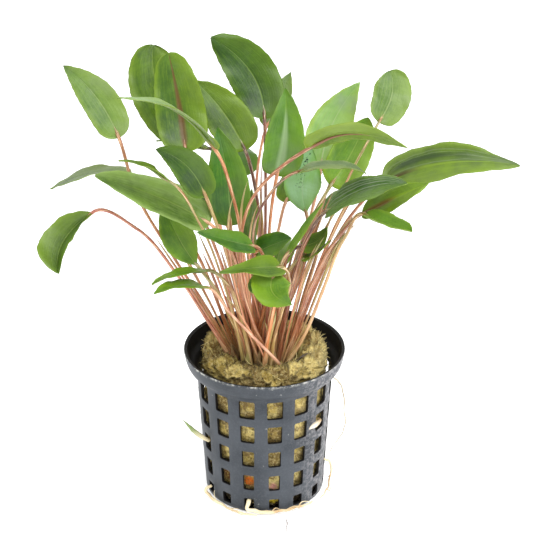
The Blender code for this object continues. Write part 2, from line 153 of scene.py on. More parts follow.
def tint(tree, colour, share, strength, new):
    """A colour moved towards a new one, by a share from 0 to 1 times a strength."""
    return blend(tree, calc(tree, "MULTIPLY", share, strength), colour, new)


def fade(tree, value, low, high):
    """0 below low, 1 above high, and smooth between them."""
    inputs = {"Value": value, "From Min": low, "From Max": high}
    return add(tree, "ShaderNodeMapRange", inputs, interpolation_type="SMOOTHSTEP").outputs["Result"]


def cloud(tree, where, scale, detail=3.0, rough=0.55):
    inputs = {"Vector": where, "Scale": scale, "Detail": detail, "Roughness": rough}
    return add(tree, "ShaderNodeTexNoise", inputs).outputs["Fac"]


def scaled(tree, vector, factors):
    return add(tree, "ShaderNodeVectorMath", {0: vector, 1: factors}, operation="MULTIPLY").outputs["Vector"]


def split(tree, vector):
    """The X, Y and Z of a vector, by those names."""
    return add(tree, "ShaderNodeSeparateXYZ", {0: vector}).outputs


def spot(tree, where, centre, size):
    """1 at a point given in millimetres, fading to 0 at a distance from it."""
    far = add(tree, "ShaderNodeVectorMath", {0: where, 1: Vector(centre) * MM}, operation="DISTANCE")
    return calc(tree, "SUBTRACT", 1.0, fade(tree, far.outputs["Value"], size * 0.4 * MM, size * MM))


def paint(red, green, blue):
    return (red, green, blue, 1.0)


def new_group(name, inputs, outputs):
    """An empty node group with named sockets, and its input and output nodes."""
    tree = bpy.data.node_groups.new(name, "ShaderNodeTree")
    kinds = {"c": "NodeSocketColor", "f": "NodeSocketFloat", "v": "NodeSocketVector"}
    for label, kind in inputs:
        tree.interface.new_socket(name=label, in_out="INPUT", socket_type=kinds[kind])
    for label, kind in outputs:
        tree.interface.new_socket(name=label, in_out="OUTPUT", socket_type=kinds[kind])
    return tree, tree.nodes.new("NodeGroupInput").outputs, tree.nodes.new("NodeGroupOutput")


def hand_out(tree, result, colour, rough, height):
    """Joins what a group worked out to its output."""
    for label, value in (("Colour", colour), ("Roughness", rough), ("Height", height)):
        tree.links.new(value, result.inputs[label])


def new_look(name):
    """An empty material: its tree and its Principled shader."""
    look = bpy.data.materials.new(name)
    look.use_nodes = True
    return look, look.node_tree, look.node_tree.nodes["Principled BSDF"]


def on_skin(tree):
    """Where a point is on the skin of its piece, as the grid that was rolled up wrote it down."""
    return add(tree, "ShaderNodeAttribute", attribute_name="place").outputs["Vector"]


def in_object(tree):
    return add(tree, "ShaderNodeTexCoord").outputs["Object"]


def painted_edge_shade(tree, colour, low, high, strength, dark):
    """A colour with painted shade, darker where a round piece turns away from the eye."""
    turned = add(tree, "ShaderNodeLayerWeight", {"Blend": 0.4}).outputs["Facing"]
    return tint(tree, colour, fade(tree, turned, low, high), strength, dark)


def dress(tree, shader, colour, rough, height, deep, strength=1.0):
    """Joins a colour, a roughness and a height field to the shader. deep is in millimetres."""
    tree.links.new(colour, shader.inputs["Base Color"])
    tree.links.new(rough, shader.inputs["Roughness"])
    bump = add(tree, "ShaderNodeBump", {"Height": height, "Distance": deep * MM, "Strength": strength})
    tree.links.new(bump.outputs["Normal"], shader.inputs["Normal"])


print("helpers ready")

# %% The floor
floor_mesh = bmesh.new()
bmesh.ops.create_grid(floor_mesh, x_segments=1, y_segments=1, size=4)
floor_data = bpy.data.meshes.new("floor")
floor_mesh.to_mesh(floor_data)
floor_mesh.free()
floor = bpy.data.objects.new("floor", floor_data)
bpy.context.scene.collection.objects.link(floor)
floor_look, _, floor_shader = new_look("white_floor")
floor_shader.inputs["Base Color"].default_value = paint(0.93, 0.93, 0.93)
floor_shader.inputs["Roughness"].default_value = 0.9
floor_shader.inputs["Specular IOR Level"].default_value = 0.1
floor_shader.inputs["Emission Color"].default_value = paint(1, 1, 1)
floor_shader.inputs["Emission Strength"].default_value = 0.4
floor.data.materials.append(floor_look)
floor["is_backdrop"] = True
print("floor laid")

# %% [markdown]
# ## Smooth curves and rolled skins
#
# Outlines, stalks and the plug's side are all known by a few points. A curve that flows through them
# gives the points between. A skin is then a flat grid rolled into a tube: each row becomes a ring, and
# where a ring shrinks to a line or a point its corners are merged, which closes the skin.

# %% Curves through points
def flowing(knots, values, at):
    """Values at the wanted knots, read off a smooth curve through the given ones."""
    knots, values, at = (np.asarray(v, float) for v in (knots, values, at))
    slopes = np.gradient(values, knots, axis=0)
    at = np.clip(at, knots[0], knots[-1])
    k = np.clip(np.searchsorted(knots, at, side="right") - 1, 0, len(knots) - 2)
    step = knots[k + 1] - knots[k]
    t = (at - knots[k]) / step
    if values.ndim > 1:
        t, step = t[..., None], step[..., None]
    before = (1 + 2 * t) * (1 - t) ** 2 * values[k] + t * (1 - t) ** 2 * step * slopes[k]
    return before + t * t * (3 - 2 * t) * values[k + 1] + t * t * (t - 1) * step * slopes[k + 1]


def path(points, count):
    """A smooth line of that many points through the given ones, evenly spaced, and each one's share."""
    points = np.array([tuple(p) for p in points], float)
    length = np.concatenate([[0], np.cumsum(np.linalg.norm(np.diff(points, axis=0), axis=1))])
    at = length[-1] * np.linspace(0, 1, count)
    return flowing(length, points, at), at / length[-1]


MERGE = 1e-7


def rolled(bm, points, marks, slot=0, low_slot=None):
    """Adds a closed skin whose rings are the rows of points in millimetres. Each point has a mark."""
    rows, columns = points.shape[:2]
    layer = bm.verts.layers.float_vector.get("place") or bm.verts.layers.float_vector.new("place")
    corners = bmesh.ops.create_grid(bm, x_segments=columns, y_segments=rows - 1, size=1)["verts"]
    for face in {face for corner in corners for face in corner.link_faces}:
        face.smooth = True
        face.material_index = slot
        if low_slot is not None and face.calc_center_median().x > 0:
            face.material_index = low_slot
    for corner in corners:
        column = round((corner.co.x + 1) / 2 * columns) % columns
        row = round((corner.co.y + 1) / 2 * (rows - 1))
        corner.co = points[row, column] * MM
        corner[layer] = marks[row, column]
    bmesh.ops.remove_doubles(bm, verts=corners, dist=MERGE)
    corners = [corner for corner in corners if corner.is_valid]
    rims = {edge for corner in corners for edge in corner.link_edges if edge.is_boundary}
    for cap in bmesh.ops.holes_fill(bm, edges=list(rims), sides=columns)["faces"]:
        cap.material_index = slot
    return corners


def tube_rings(line, radii, columns, flat=None):
    """Rings of a tube along a line, turned as little as possible from one to the next."""
    along = np.gradient(line, axis=0)
    along /= np.linalg.norm(along, axis=1, keepdims=True)
    side = np.cross(along[0], (0.3, 1, 0.2))
    turn = np.linspace(0, 2 * math.pi, columns, endpoint=False)
    flat = np.ones(len(line)) if flat is None else flat
    rings, marks = [], []
    share = np.linspace(0, 1, len(line))
    for k, (point, way) in enumerate(zip(line, along)):
        side = side - way * side.dot(way)
        side /= np.linalg.norm(side)
        up = np.cross(way, side)
        ring = np.outer(np.cos(turn), side) + np.outer(np.sin(turn) * flat[k], up)
        rings.append(point + ring * radii[k])
        marks.append(np.stack([np.cos(turn), np.sin(turn), np.full(columns, share[k])], axis=1))
    return np.array(rings), np.array(marks)


def piece(name, bm, looks, slot, *nodes):
    """Turns a bmesh into a finished piece that stands for CAD nodes and rides on the plant."""
    bmesh.ops.recalc_face_normals(bm, faces=bm.faces)
    mesh = bpy.data.meshes.new(name)
    bm.to_mesh(mesh)
    bm.free()
    made = bpy.data.objects.new(name, mesh)
    for look in looks:
        mesh.materials.append(look)
    bpy.context.scene.collection.objects.link(made)
    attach(made, "root")
    if nodes:
        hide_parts(*nodes)
    return made


print("a quarter of the way between 0, 1 and 4:", round(float(flowing((0, 1, 2), (0, 1, 4), 0.5)), 3))

# %% [markdown]
# ## The leaves
#
# Each leaf is known by the neck, middle and tip of its midrib, its width, the way its upper side faces
# and how far its two halves are cupped. The table is the one that the solids were made from, so the
# finer blades and stalks lie exactly where the solids are.

# %% The table of leaves
# neck, middle and tip in millimetres, width, the way it faces, cup in degrees, kind and outline
LEAVES = {
    "leaf_01": ((-48, 6, 131), (-55.5, 12.5, 142), (-66, 20, 149), 12.5, (0.2, -0.85, 0.5), 10, "pale"),
    "leaf_02": ((-28, 20, 125), (-35.8, 27, 139), (-37, 34, 151), 18.4, (0.0, -0.9, 0.4), 8,
                "mid", "round"),
    "leaf_03": ((-25.8, 4, 127), (-28, 12, 140), (-31, 14, 156), 17, (0.1, -0.9, 0.35), 10, "mid", "blunt"),
    "leaf_04": ((-16, -16, 136), (-28, -21, 151), (-45, -24, 156), 11, (0.25, 0.25, 0.95), 6, "pale"),
    "leaf_05": ((-7, 10, 125), (-14, 16, 135), (-23, 20, 144), 15, (0.1, -0.85, 0.5), 8, "mid"),
    "leaf_06": ((-11, -8, 106), (-12, -5, 121), (-15, 0, 136), 14, (0.1, -0.95, 0.3), 12, "dark"),
    "leaf_07": ((-19, -16, 120), (-25, -18, 131), (-34, -20, 137), 11, (-0.1, -0.85, 0.5), 10, "dark"),
    "leaf_08": ((0, 18, 133), (-4.8, 26, 145), (-17.6, 28, 156), 16.5, (0.1, -0.9, 0.35), 6, "mid", "full"),
    "leaf_09": ((1, 32, 123), (5, 38, 130), (9, 42, 138), 9, (0.1, -0.9, 0.4), 5, "pale"),
    "leaf_10": ((4.5, 2, 119), (6.8, 2, 133), (7, 6, 147), 14, (0.15, -0.95, 0.2), 16, "dark"),
    "leaf_11": ((-46, 10, 114.6), (-58, 12, 113.8), (-71, 8, 109.8), 12, (0.0, 0.15, 1.0), 8, "grey"),
    "leaf_12": ((-19, -10, 107), (-34, -10, 115.4), (-54, -14, 125), 13.6, (-0.1, -0.5, 0.85), 10,
                "mid", "full"),
    "leaf_13": ((-30.6, -20, 126.4), (-37.6, -20, 131.4), (-46, -18, 132), 7, (0.0, 0.25, 0.95), 8, "mid"),
    "leaf_14": ((-56, -8, 109), (-64.8, -16, 102.5), (-66, -26, 96), 15, (-0.3, -0.6, 0.7), 42,
                "mid", "wedge"),
    "leaf_15": ((-22, -12, 92), (-28, -8, 100), (-33, -4, 111), 11, (0.0, -0.95, 0.3), 8, "mid", "tapered"),
    "leaf_16": ((-4, -16, 101), (-12, -22, 106), (-21, -28, 112), 9, (0.0, -0.5, 0.85), 8, "dark"),
    "leaf_17": ((-2, -4, 92.8), (4, -6, 96.8), (9, -8, 99.8), 9, (0.1, -0.6, 0.8), 10, "dark"),
    "leaf_18": ((8, -15, 98), (13.2, -15, 107), (19, -13, 115), 3.4, (-0.8, -0.5, 0.3), 6, "bright"),
    "leaf_19": ((5, -20, 95.2), (-3.5, -26, 98), (-14, -32, 99.6), 9.5, (0.0, -0.45, 0.9), 8,
                "mid", "nosed"),
    "leaf_20": ((3, -24, 94), (3, -30, 91), (9, -36, 90), 13, (0.1, -0.6, 0.8), 6, "bright"),
    "leaf_21": ((13, 0, 93), (18, 0, 95), (21, 0, 100), 7, (-0.4, -0.5, 0.7), 5, "mid"),
    "leaf_22": ((13, -2, 89), (18, -2, 92), (22, -4, 97), 7, (-0.4, 0.1, 0.9), 4, "bright"),
    "leaf_23": ((-19, -18, 93), (-28, -24, 95), (-36, -28, 93), 8, (0.0, 0.25, 1.0), 6, "dark"),
    "leaf_24": ((-19, -22, 89), (-27, -28, 93), (-35, -34, 93), 9, (0.0, 0.1, 1.0), 6, "mid"),
    "leaf_25": ((19, 16, 115), (23, 24, 127), (32, 28, 140), 15, (0.1, -0.9, 0.35), 8, "pale"),
    "leaf_26": ((15, -17.2, 136.4), (28, -21.4, 143), (45, -26, 140), 11, (-0.2, 0.85, 0.5), 8, "mid"),
    "leaf_27": ((14, 8, 101.4), (12.8, 12, 111), (16, 16, 121), 12.6, (0.0, -1.0, 0.1), 5,
                "grey", "tapered"),
    "leaf_28": ((12, -6, 123), (23, -8, 126), (33, -10, 124), 9, (0.0, 0.1, 1.0), 6, "dark"),
    "leaf_29": ((23, 8, 113), (29, 14, 120.5), (34.5, 18, 131.5), 14, (0.1, -0.95, 0.25), 8, "mid", "full"),
    "leaf_30": ((38.6, 14, 132.9), (42.4, 21, 139), (41.8, 26, 145), 13, (0.1, -0.9, 0.4), 6,
                "pale", "round"),
    "leaf_31": ((41, 2, 116), (60, -2, 124), (83, -4, 124), 17, (0.1, -0.4, 0.9), 10, "mid"),
    "leaf_32": ((21, -8, 110), (33, -14, 120), (46, -18, 124), 14, (0.0, -0.3, 0.95), 8, "grey"),
    "leaf_33": ((33, -8, 109), (43, -11, 116), (53, -11, 121), 10, (0.1, -0.4, 0.9), 8, "mid"),
    "leaf_34": ((33, -16, 112), (41, -22, 111), (47, -28, 112), 8, (0.1, -0.2, 1.0), 30, "bright", "full"),
    "leaf_35": ((-5, -2, 94), (-4, 0, 104), (-4, 2, 113), 8, (-0.7, -0.6, 0.2), 6, "mid"),
    "leaf_36": ((4, 18, 76), (6, 30, 78), (8, 40, 74), 11, (0.0, 0.4, 0.9), 8, "bright"),
    "leaf_37": ((-19, 12, 123), (-27, 14, 124), (-36, 16, 124), 9, (0.0, 0.4, 0.9), 6, "mid"),
    "leaf_38": ((-1, -18, 91), (-3, -22, 89), (-3, -26, 89), 5, (0.0, -0.7, 0.7), 5, "dark"),
    "leaf_39": ((-18, 22, 97), (-30, 32, 98), (-40, 40, 93), 13, (-0.2, 0.4, 0.9), 8, "mid"),
    "leaf_40": ((-8, 26, 108), (-12, 40, 110), (-16, 52, 104), 15, (0.0, 0.5, 0.85), 8, "dark"),
    "leaf_41": ((8, 26, 98), (14, 38, 101), (20, 50, 96), 13, (0.1, 0.5, 0.85), 8, "mid"),
    "leaf_42": ((20, 20, 96), (32, 28, 99), (43, 34, 97), 13, (0.3, 0.4, 0.85), 8, "pale"),
}
# half widths along a blade, both as shares: of its length, and of its half width
OUTLINES = {
    "pointed": ((0, 0.05), (0.006, 0.22), (0.02, 0.44), (0.05, 0.68), (0.1, 0.85), (0.18, 0.96), (0.3, 1.0),
                (0.45, 0.97), (0.6, 0.84), (0.75, 0.61), (0.88, 0.34), (0.96, 0.13), (1, 0.02)),
    "full": ((0, 0.05), (0.006, 0.22), (0.02, 0.43), (0.05, 0.65), (0.1, 0.80), (0.18, 0.91), (0.3, 0.98),
             (0.45, 1.0), (0.6, 0.93), (0.75, 0.77), (0.88, 0.51), (0.96, 0.26), (1, 0.04)),
    "round": ((0, 0.05), (0.006, 0.21), (0.02, 0.41), (0.05, 0.62), (0.1, 0.77), (0.18, 0.88), (0.3, 0.96),
              (0.45, 1.0), (0.65, 0.95), (0.8, 0.8), (0.9, 0.6), (0.96, 0.4), (0.99, 0.2), (1, 0.06)),
    "blunt": ((0, 0.05), (0.006, 0.23), (0.02, 0.46), (0.05, 0.69), (0.1, 0.85), (0.18, 0.95), (0.3, 1.0),
              (0.45, 0.98), (0.6, 0.92), (0.75, 0.8), (0.88, 0.63), (0.96, 0.42), (0.99, 0.24), (1, 0.08)),
    "tapered": ((0, 0.03), (0.02, 0.12), (0.06, 0.25), (0.14, 0.49), (0.3, 0.86), (0.45, 1.0), (0.6, 0.96),
                (0.75, 0.77), (0.88, 0.47), (0.96, 0.22), (1, 0.03)),
    "wedge": ((0, 0.03), (0.02, 0.14), (0.06, 0.28), (0.14, 0.47), (0.3, 0.74), (0.45, 0.9), (0.6, 1.0),
              (0.75, 0.93), (0.88, 0.6), (0.96, 0.26), (0.99, 0.1), (1, 0.02)),
    "nosed": ((0, 0.40), (0.02, 0.56), (0.06, 0.76), (0.14, 0.96), (0.3, 1.0), (0.45, 0.84), (0.6, 0.56),
              (0.75, 0.36), (0.88, 0.24), (0.96, 0.13), (0.99, 0.07), (1, 0.02)),
}
# how far the lobes reach back past the neck, as a share of the width
LOBES = {kind: 0 if kind in ("tapered", "wedge") else 0.13 for kind in OUTLINES}
print(len(LEAVES), "leaves, widest", max(leaf[3] for leaf in LEAVES.values()), "mm")

# %% [markdown]
# ### Where a blade lies
#
# The midrib is a parabola. At every share of its length three directions hold the blade: along the
# midrib, across it, and up out of the upper side. The half width follows the outline, two lobes reach
# back past the neck, and the margins ripple a little, as the margins of this plant do.

# %% The middle surface of a blade
def midrib(leaf, share):
    """The point of the midrib at a share of its length, and the way that it runs there."""
    neck, middle, tip = (Vector(p) for p in leaf[:3])
    pull = 2 * middle - (neck + tip) / 2
    point = neck * (1 - share) ** 2 + pull * 2 * share * (1 - share) + tip * share ** 2
    along = (pull - neck) * (1 - share) + (tip - pull) * share
    return point, along.normalized()


def blade_axes(leaf, share):
    """A point of the midrib, and the ways along the blade, across it and up out of it."""
    point, along = midrib(leaf, share)
    face = Vector(leaf[4])
    up = (face - along * face.dot(along)).normalized()
    return point, along, along.cross(up), up


# lengthwise folds of single blades: where across, how wide, and how high in millimetres
FOLDS = {
    "leaf_31": ((-0.42, 0.16, 0.9), (-0.7, 0.14, -0.8)), "leaf_32": ((-0.4, 0.15, 0.5), (0.45, 0.2, -0.5)),
    "leaf_12": ((0.5, 0.2, -0.6),), "leaf_02": ((-0.5, 0.2, 0.5),), "leaf_26": ((0.4, 0.2, -0.5),),
}
# how deep the margin is nicked, waved and rippled, as shares of the width
NICK, WAVE, RIPPLE = 0.012, 0.035, 0.013


def blade_rows(name, shares, sides):
    """The middle surface of a blade and its way up, for every share of its length and every side."""
    leaf = LEAVES[name]
    width, cup = leaf[3], math.radians(leaf[5])
    kind = leaf[7] if len(leaf) > 7 else "pointed"
    outline = flowing(*zip(*OUTLINES[kind]), shares)
    seed = int(name[-2:])
    surface, ways = [], []
    for share, half in zip(shares, outline):
        point, along, across, up = (np.array(v) for v in blade_axes(leaf, share))
        nick = NICK * np.sin(61 * share + seed) * np.abs(sides) ** 8
        out = width / 2 * (half + nick) * sides
        behind = LOBES[kind] * width * np.abs(sides) ** 1.4 * (1 - share) ** 3
        lift = WAVE * width * sides ** 2 * np.sin(11 * share + 3 * sides + width)
        lift = lift + RIPPLE * width * np.abs(sides) ** 3 * np.sin(27 * share + 5 * sides + seed)
        lift = lift + np.abs(out) * math.sin(cup)
        for across_at, wide, high in FOLDS.get(name, ()):
            fold = high * np.exp(-((sides - across_at) / wide) ** 2)
            lift = lift + fold * min(1, 3 * (1 - share)) * half
        row = np.outer(out * math.cos(cup), across) + np.outer(lift, up) - np.outer(behind, along)
        surface.append(point + row)
        ways.append(np.tile(up, (len(sides), 1)))
    return np.array(surface), np.array(ways)


HALF_SIDES = (0, 0.03, 0.07, 0.12, 0.19, 0.27, 0.35, 0.43, 0.51, 0.59, 0.67, 0.75, 0.82, 0.88, 0.93, 0.97, 1)
SIDES = np.array([-side for side in HALF_SIDES[:0:-1]] + list(HALF_SIDES))
SHARES = 0.5 - 0.5 * np.cos(np.pi * np.linspace(0, 1, 44))
print("grid of a blade:", len(SHARES), "by", len(SIDES))

# %% [markdown]
# ### A blade with two sides
#
# A real blade is about a third of a millimetre thick and thins out to nothing at its margin. The
# upper side has a groove over the midrib and shallow furrows over the side veins, and the lower side
# bulges under them. So the two sides are pushed off the middle surface by different amounts, and meet
# where the amount is nothing.

# %% Both sides of a blade
BLADE_THICK = 0.34
SIDE_VEINS = (0.24, 0.45, 0.65, 0.83)
VEIN_WIDE, RIB_WIDE = 0.028, 0.05
# depths in millimetres of the furrows and the groove above, and the heights of their ribs below
FURROW, GROOVE, VEIN_HIGH, RIB_HIGH, PUCKER = 0.07, 0.10, 0.05, 0.16, 0.05


def blade_skin(bm, name):
    """Adds both sides of a blade. A point's mark is its side, its share and a number of the leaf's own."""
    middle, up = blade_rows(name, SHARES, SIDES)
    off = np.abs(SIDES)[None, :]
    share = SHARES[:, None]
    ends = np.clip(share / 0.02, 0, 1) * np.clip((1 - share) / 0.02, 0, 1)
    rim = (1 - off ** 12) * ends
    furrow = sum(np.exp(-((off - vein) / VEIN_WIDE) ** 2) for vein in SIDE_VEINS) * (1 - share * 0.5)
    groove = np.exp(-(off / RIB_WIDE) ** 2) * (1 - 0.8 * share)
    pucker = PUCKER * np.sin(off * 28 + 2) * np.sin(share * 70 + off * 9)
    top = rim * (BLADE_THICK / 2 - GROOVE * groove - FURROW * furrow + pucker)
    low = rim * (BLADE_THICK / 2 + RIB_HIGH * groove + VEIN_HIGH * furrow - pucker)
    upper = middle + up * top[..., None]
    lower = middle - up * low[..., None]
    rings = np.concatenate([upper, lower[:, -2:0:-1]], axis=1)
    side = np.concatenate([SIDES, SIDES[-2:0:-1]])
    seed = (int(name[-2:]) * 0.37) % 1
    marks = np.stack(np.broadcast_arrays(side[None, :], share, np.array(seed)), axis=2)
    rolled(bm, rings, marks, slot=0, low_slot=1)


print("side veins at", SIDE_VEINS)

# %% [markdown]
# ### The stalks
#
# A stalk leaves the crown steeply and comes into its blade along the midrib. More than forty of them
# share a crown two centimetres wide, so the lines are pushed apart, a little at a time, until none
# runs into another. It is the same sum that the solids used, so it gives the same lines.

# %% Lines of the stalks
FOOT_Z = 50.1
FOOT_REACH = (11.2, 8.4)
FOOT_SHARE = (0.22, 0.34)
STALK_R = (0.95, 0.62)
STALK_SPAN = (0, 0.2, 0.44, 0.72, 1)
STALK_GAP = 0.35
UNDER_BLADE = 0.14
# stalks that bow aside, by how many millimetres, and those whose foot isn't below their neck
STALK_BOWS = {
    "leaf_01": (-7, 0, 0), "leaf_14": (0, 0, -7), "leaf_24": (0, -3, -6), "leaf_26": (-16, -3.5, 0),
    "leaf_28": (-7, -5, 0), "leaf_29": (0, 3, 0), "leaf_34": (6, 0, -8),
}
STALK_FEET = {"leaf_24": (6.5, -7.6)}


def stalk_line(leaf, foot, bow):
    """Points of a stalk from its foot to its neck, and one more under the blade."""
    neck, along = midrib(leaf, 0)
    reach = neck - foot
    start = Vector((reach.x * 0.5, reach.y * 0.5, reach.z)).normalized()
    first = foot + start * reach.length * 0.36 + bow
    second = neck - along * reach.length * 0.26 + bow
    line = []
    for share in STALK_SPAN:
        rest = 1 - share
        line.append(foot * rest ** 3 + first * 3 * rest ** 2 * share + second * 3 * rest * share ** 2
                    + neck * share ** 3)
    end, _, _, up = blade_axes(leaf, UNDER_BLADE)
    line.append(end - up * 0.35)
    return line


def nearest(a, b, c, d):
    """Shares along segments a-b and c-d of their nearest points, for arrays of segments."""
    u, v, w = b - a, d - c, a - c
    uu, uv, vv = (u * u).sum(-1), (u * v).sum(-1), (v * v).sum(-1)
    uw, vw = (u * w).sum(-1), (v * w).sum(-1)
    flat = uu * vv - uv * uv
    s = np.clip(np.where(flat > 1e-9, (uv * vw - vv * uw) / np.maximum(flat, 1e-9), 0.5), 0, 1)
    t = np.clip((uv * s + vw) / vv, 0, 1)
    s = np.clip((uv * t - uw) / uu, 0, 1)
    return s, t


def keep_apart(lines, gap, turns=260):
    """Moves stalks that would run into each other apart, a little at a time."""
    points = np.array([[tuple(p) for p in line] for line in lines])
    count, last = points.shape[0], points.shape[1] - 1
    loose = np.ones((1, last + 1, 1))
    loose[0, -2:] = 0
    one, two = np.triu_indices(count, 1)
    size = np.interp(np.arange(last) + 0.5, [0, last], STALK_R)
    for _ in range(turns):
        a, b = points[one][:, :-1, None], points[one][:, 1:, None]
        c, d = points[two][:, None, :-1], points[two][:, None, 1:]
        s, t = nearest(a, b, c, d)
        off = (a + (b - a) * s[..., None]) - (c + (d - c) * t[..., None])
        apart = np.linalg.norm(off, axis=-1)
        short = np.clip(size[:, None] + size[None, :] + gap - apart, 0, None)
        if short.max() < 0.02:
            break
        push = off / np.maximum(apart, 1e-6)[..., None] * (short * 0.3)[..., None]
        move = np.zeros_like(points)
        for k in range(last):
            for m in range(last):
                p, sk, tm = push[:, k, m], s[:, k, m, None], t[:, k, m, None]
                np.add.at(move[:, k], one, p * (1 - sk))
                np.add.at(move[:, k + 1], one, p * sk)
                np.add.at(move[:, m], two, -p * (1 - tm))
                np.add.at(move[:, m + 1], two, -p * tm)
        move[:, 0, 2] = 0
        points += move * loose
    return points


def stalk_lines():
    """The line of every stalk by its leaf's name, all clear of each other."""
    lines = []
    for name, leaf in LEAVES.items():
        neck = Vector(leaf[0])
        below = (neck.x * FOOT_SHARE[0], neck.y * FOOT_SHARE[1])
        foot = Vector((*STALK_FEET.get(name, below), 0))
        over = math.hypot(foot.x / FOOT_REACH[0], foot.y / FOOT_REACH[1])
        if over > 1:
            foot /= over
        foot.z = FOOT_Z
        lines.append(stalk_line(leaf, foot, Vector(STALK_BOWS.get(name, (0, 0, 0)))))
    return dict(zip(LEAVES, keep_apart(lines, STALK_GAP)))


STALKS = stalk_lines()
print("feet from", STALKS["leaf_14"][0].round(1), "to", STALKS["leaf_31"][0].round(1))

# %% [markdown]
# ### A stalk that becomes the midrib
#
# Near the crown a stalk widens into a sheath. Above, it stays round, and under the blade it runs on
# as the midrib, half sunk in it and ever thinner. One tube does all three.

# %% The skin of a stalk
UNDER_SHARES = (0.03, 0.07, 0.12, 0.2, 0.3, 0.42, 0.55, 0.68, 0.8)
STALK_ROWS, STALK_SIDES = 60, 12
IN_THE_WOOL = 2.2
# radii in millimetres halfway up: of most stalks, and of the thinner ones
STALK_THICK = 0.5
THIN = {"leaf_30": 0.36, "leaf_13": 0.36, "leaf_24": 0.42, "leaf_28": 0.4, "leaf_09": 0.4}


def midrib_radius(share):
    """How thick the midrib is under the blade: as thick as the stalk at the neck, and ever thinner."""
    return 0.57 * (1 - share / 0.84) ** 1.3 + 0.03


def stalk_skin(bm, name):
    """Adds the tube of a stalk and its midrib. The third mark is 0 at the foot and 1 at the neck."""
    leaf, line = LEAVES[name], STALKS[name][:5]
    root = line[0] - (line[1] - line[0]) / np.linalg.norm(line[1] - line[0]) * IN_THE_WOOL
    under = []
    for share in UNDER_SHARES:
        point, _, _, up = blade_axes(leaf, share)
        sink = (midrib_radius(share) + 0.02) * min(1, share / 0.1)
        under.append(np.array(point - up * sink))
    points, along = path([root, *line, *under], STALK_ROWS)
    length = np.concatenate([[0], np.cumsum(np.linalg.norm(np.diff(points, axis=0), axis=1))])
    neck = int(np.argmin(np.linalg.norm(points - line[-1], axis=1)))
    to_neck = np.clip(length / length[neck], 0, 1)
    radii = THIN.get(name, STALK_THICK) + 0.3 * np.exp(-length / 18) + 0.5 * np.exp(-length / 4.5)
    radii = radii + 0.1 * to_neck ** 4
    radii = radii * (1 + 0.04 * np.sin(length * 0.9 + int(name[-2:])))
    beyond = np.clip((length - length[neck]) / (length[-1] - length[neck]), 0, 1)
    radii = np.where(beyond > 0, midrib_radius(beyond * UNDER_SHARES[-1]), radii)
    rings, marks = tube_rings(points, radii, STALK_SIDES)
    marks[..., 2] = (length / length[neck])[:, None]
    rolled(bm, rings, marks, slot=2)


print("a stalk has", STALK_ROWS, "rings of", STALK_SIDES)

# %% [markdown]
# ### The skin of the leaves
#
# The upper side is a mixture of a deep and a fresh green in soft patches, crossed by fine bars between
# the side veins, with a paler yellowish margin and a midrib that can be green or brown. The group
# reads where it is on the blade from the attribute that the grid wrote: the side, the share of the
# length, and a number of the leaf's own.

# %% The leaf_skin group
def lane(tree, side, at, wide, clear):
    """1 along a lengthwise line of the blade, up to wide from it, fading to 0 at clear."""
    return fade(tree, calc(tree, "ABSOLUTE", calc(tree, "SUBTRACT", side, at)), clear, wide)


def leaf_greens(tree, given, side, off, share, noises):
    """The two greens in patches and streaks, the pale margin, and painted light, shade and sheen."""
    large, mottle, fibres, bars, veins = noises
    deep, margin = given["Deep"], given["Margin"]
    colour = blend(tree, fade(tree, large, 0.38, 0.62), deep, given["Fresh"])
    colour = tint(tree, colour, fade(tree, mottle, 0.42, 0.62), 0.35, given["Fresh"])
    colour = tint(tree, colour, bars, 0.2, deep)
    colour = tint(tree, colour, fade(tree, fibres, 0.5, 0.66), 0.35, margin)
    colour = tint(tree, colour, fade(tree, fibres, 0.48, 0.34), 0.5, deep)
    # painted shade: one half of the blade darkens towards the deep green, as far as the Shade trait says
    back = fade(tree, calc(tree, "MULTIPLY_ADD", mottle, 0.3, side), 0.3, 0.05)
    colour = tint(tree, colour, back, given["Shade"], deep)
    colour = tint(tree, colour, veins, 0.1, margin)
    # painted sheen: pale stripes along the side veins of the shaded half
    colour = tint(tree, colour, calc(tree, "MULTIPLY", veins, back), given["Stripes"], given["Stripe"])
    # painted shade: a dark line in a lengthwise crease of the blade, fading out towards the tip
    valley_shade = calc(tree, "MULTIPLY", lane(tree, side, -0.36, 0.03, 0.15), given["Valley Shade"])
    colour = tint(tree, colour, valley_shade, fade(tree, share, 0.75, 0.4), paint(0.022, 0.045, 0.010))
    # painted light: the other half of the blade is paler, towards the margin colour
    lit = fade(tree, calc(tree, "MULTIPLY_ADD", mottle, 0.8, side), 0.1, 1.1)
    colour = tint(tree, colour, lit, 0.5, margin)
    edge = fade(tree, calc(tree, "MULTIPLY_ADD", mottle, 0.25, off), 0.8, 1.12)
    colour = tint(tree, colour, edge, 0.75, margin)
    near = calc(tree, "SUBTRACT", 1.0, fade(tree, share, 0.0, 0.16))
    return tint(tree, colour, near, 0.4, margin)


def leaf_rib(tree, given, colour, off, share):
    """The colour with a tinted midrib, which narrows to the tip and may end before it."""
    width = calc(tree, "MULTIPLY", calc(tree, "SUBTRACT", 1.15, share), given["Rib Width"])
    rib = calc(tree, "SUBTRACT", 1.0, fade(tree, calc(tree, "DIVIDE", off, width), 0.25, 1.1))
    past = calc(tree, "SUBTRACT", share, given["Rib End"])
    rib_tint = blend(tree, fade(tree, past, -0.15, 0.1), given["Rib"], given["Margin"])
    return tint(tree, colour, rib, 0.8, rib_tint)


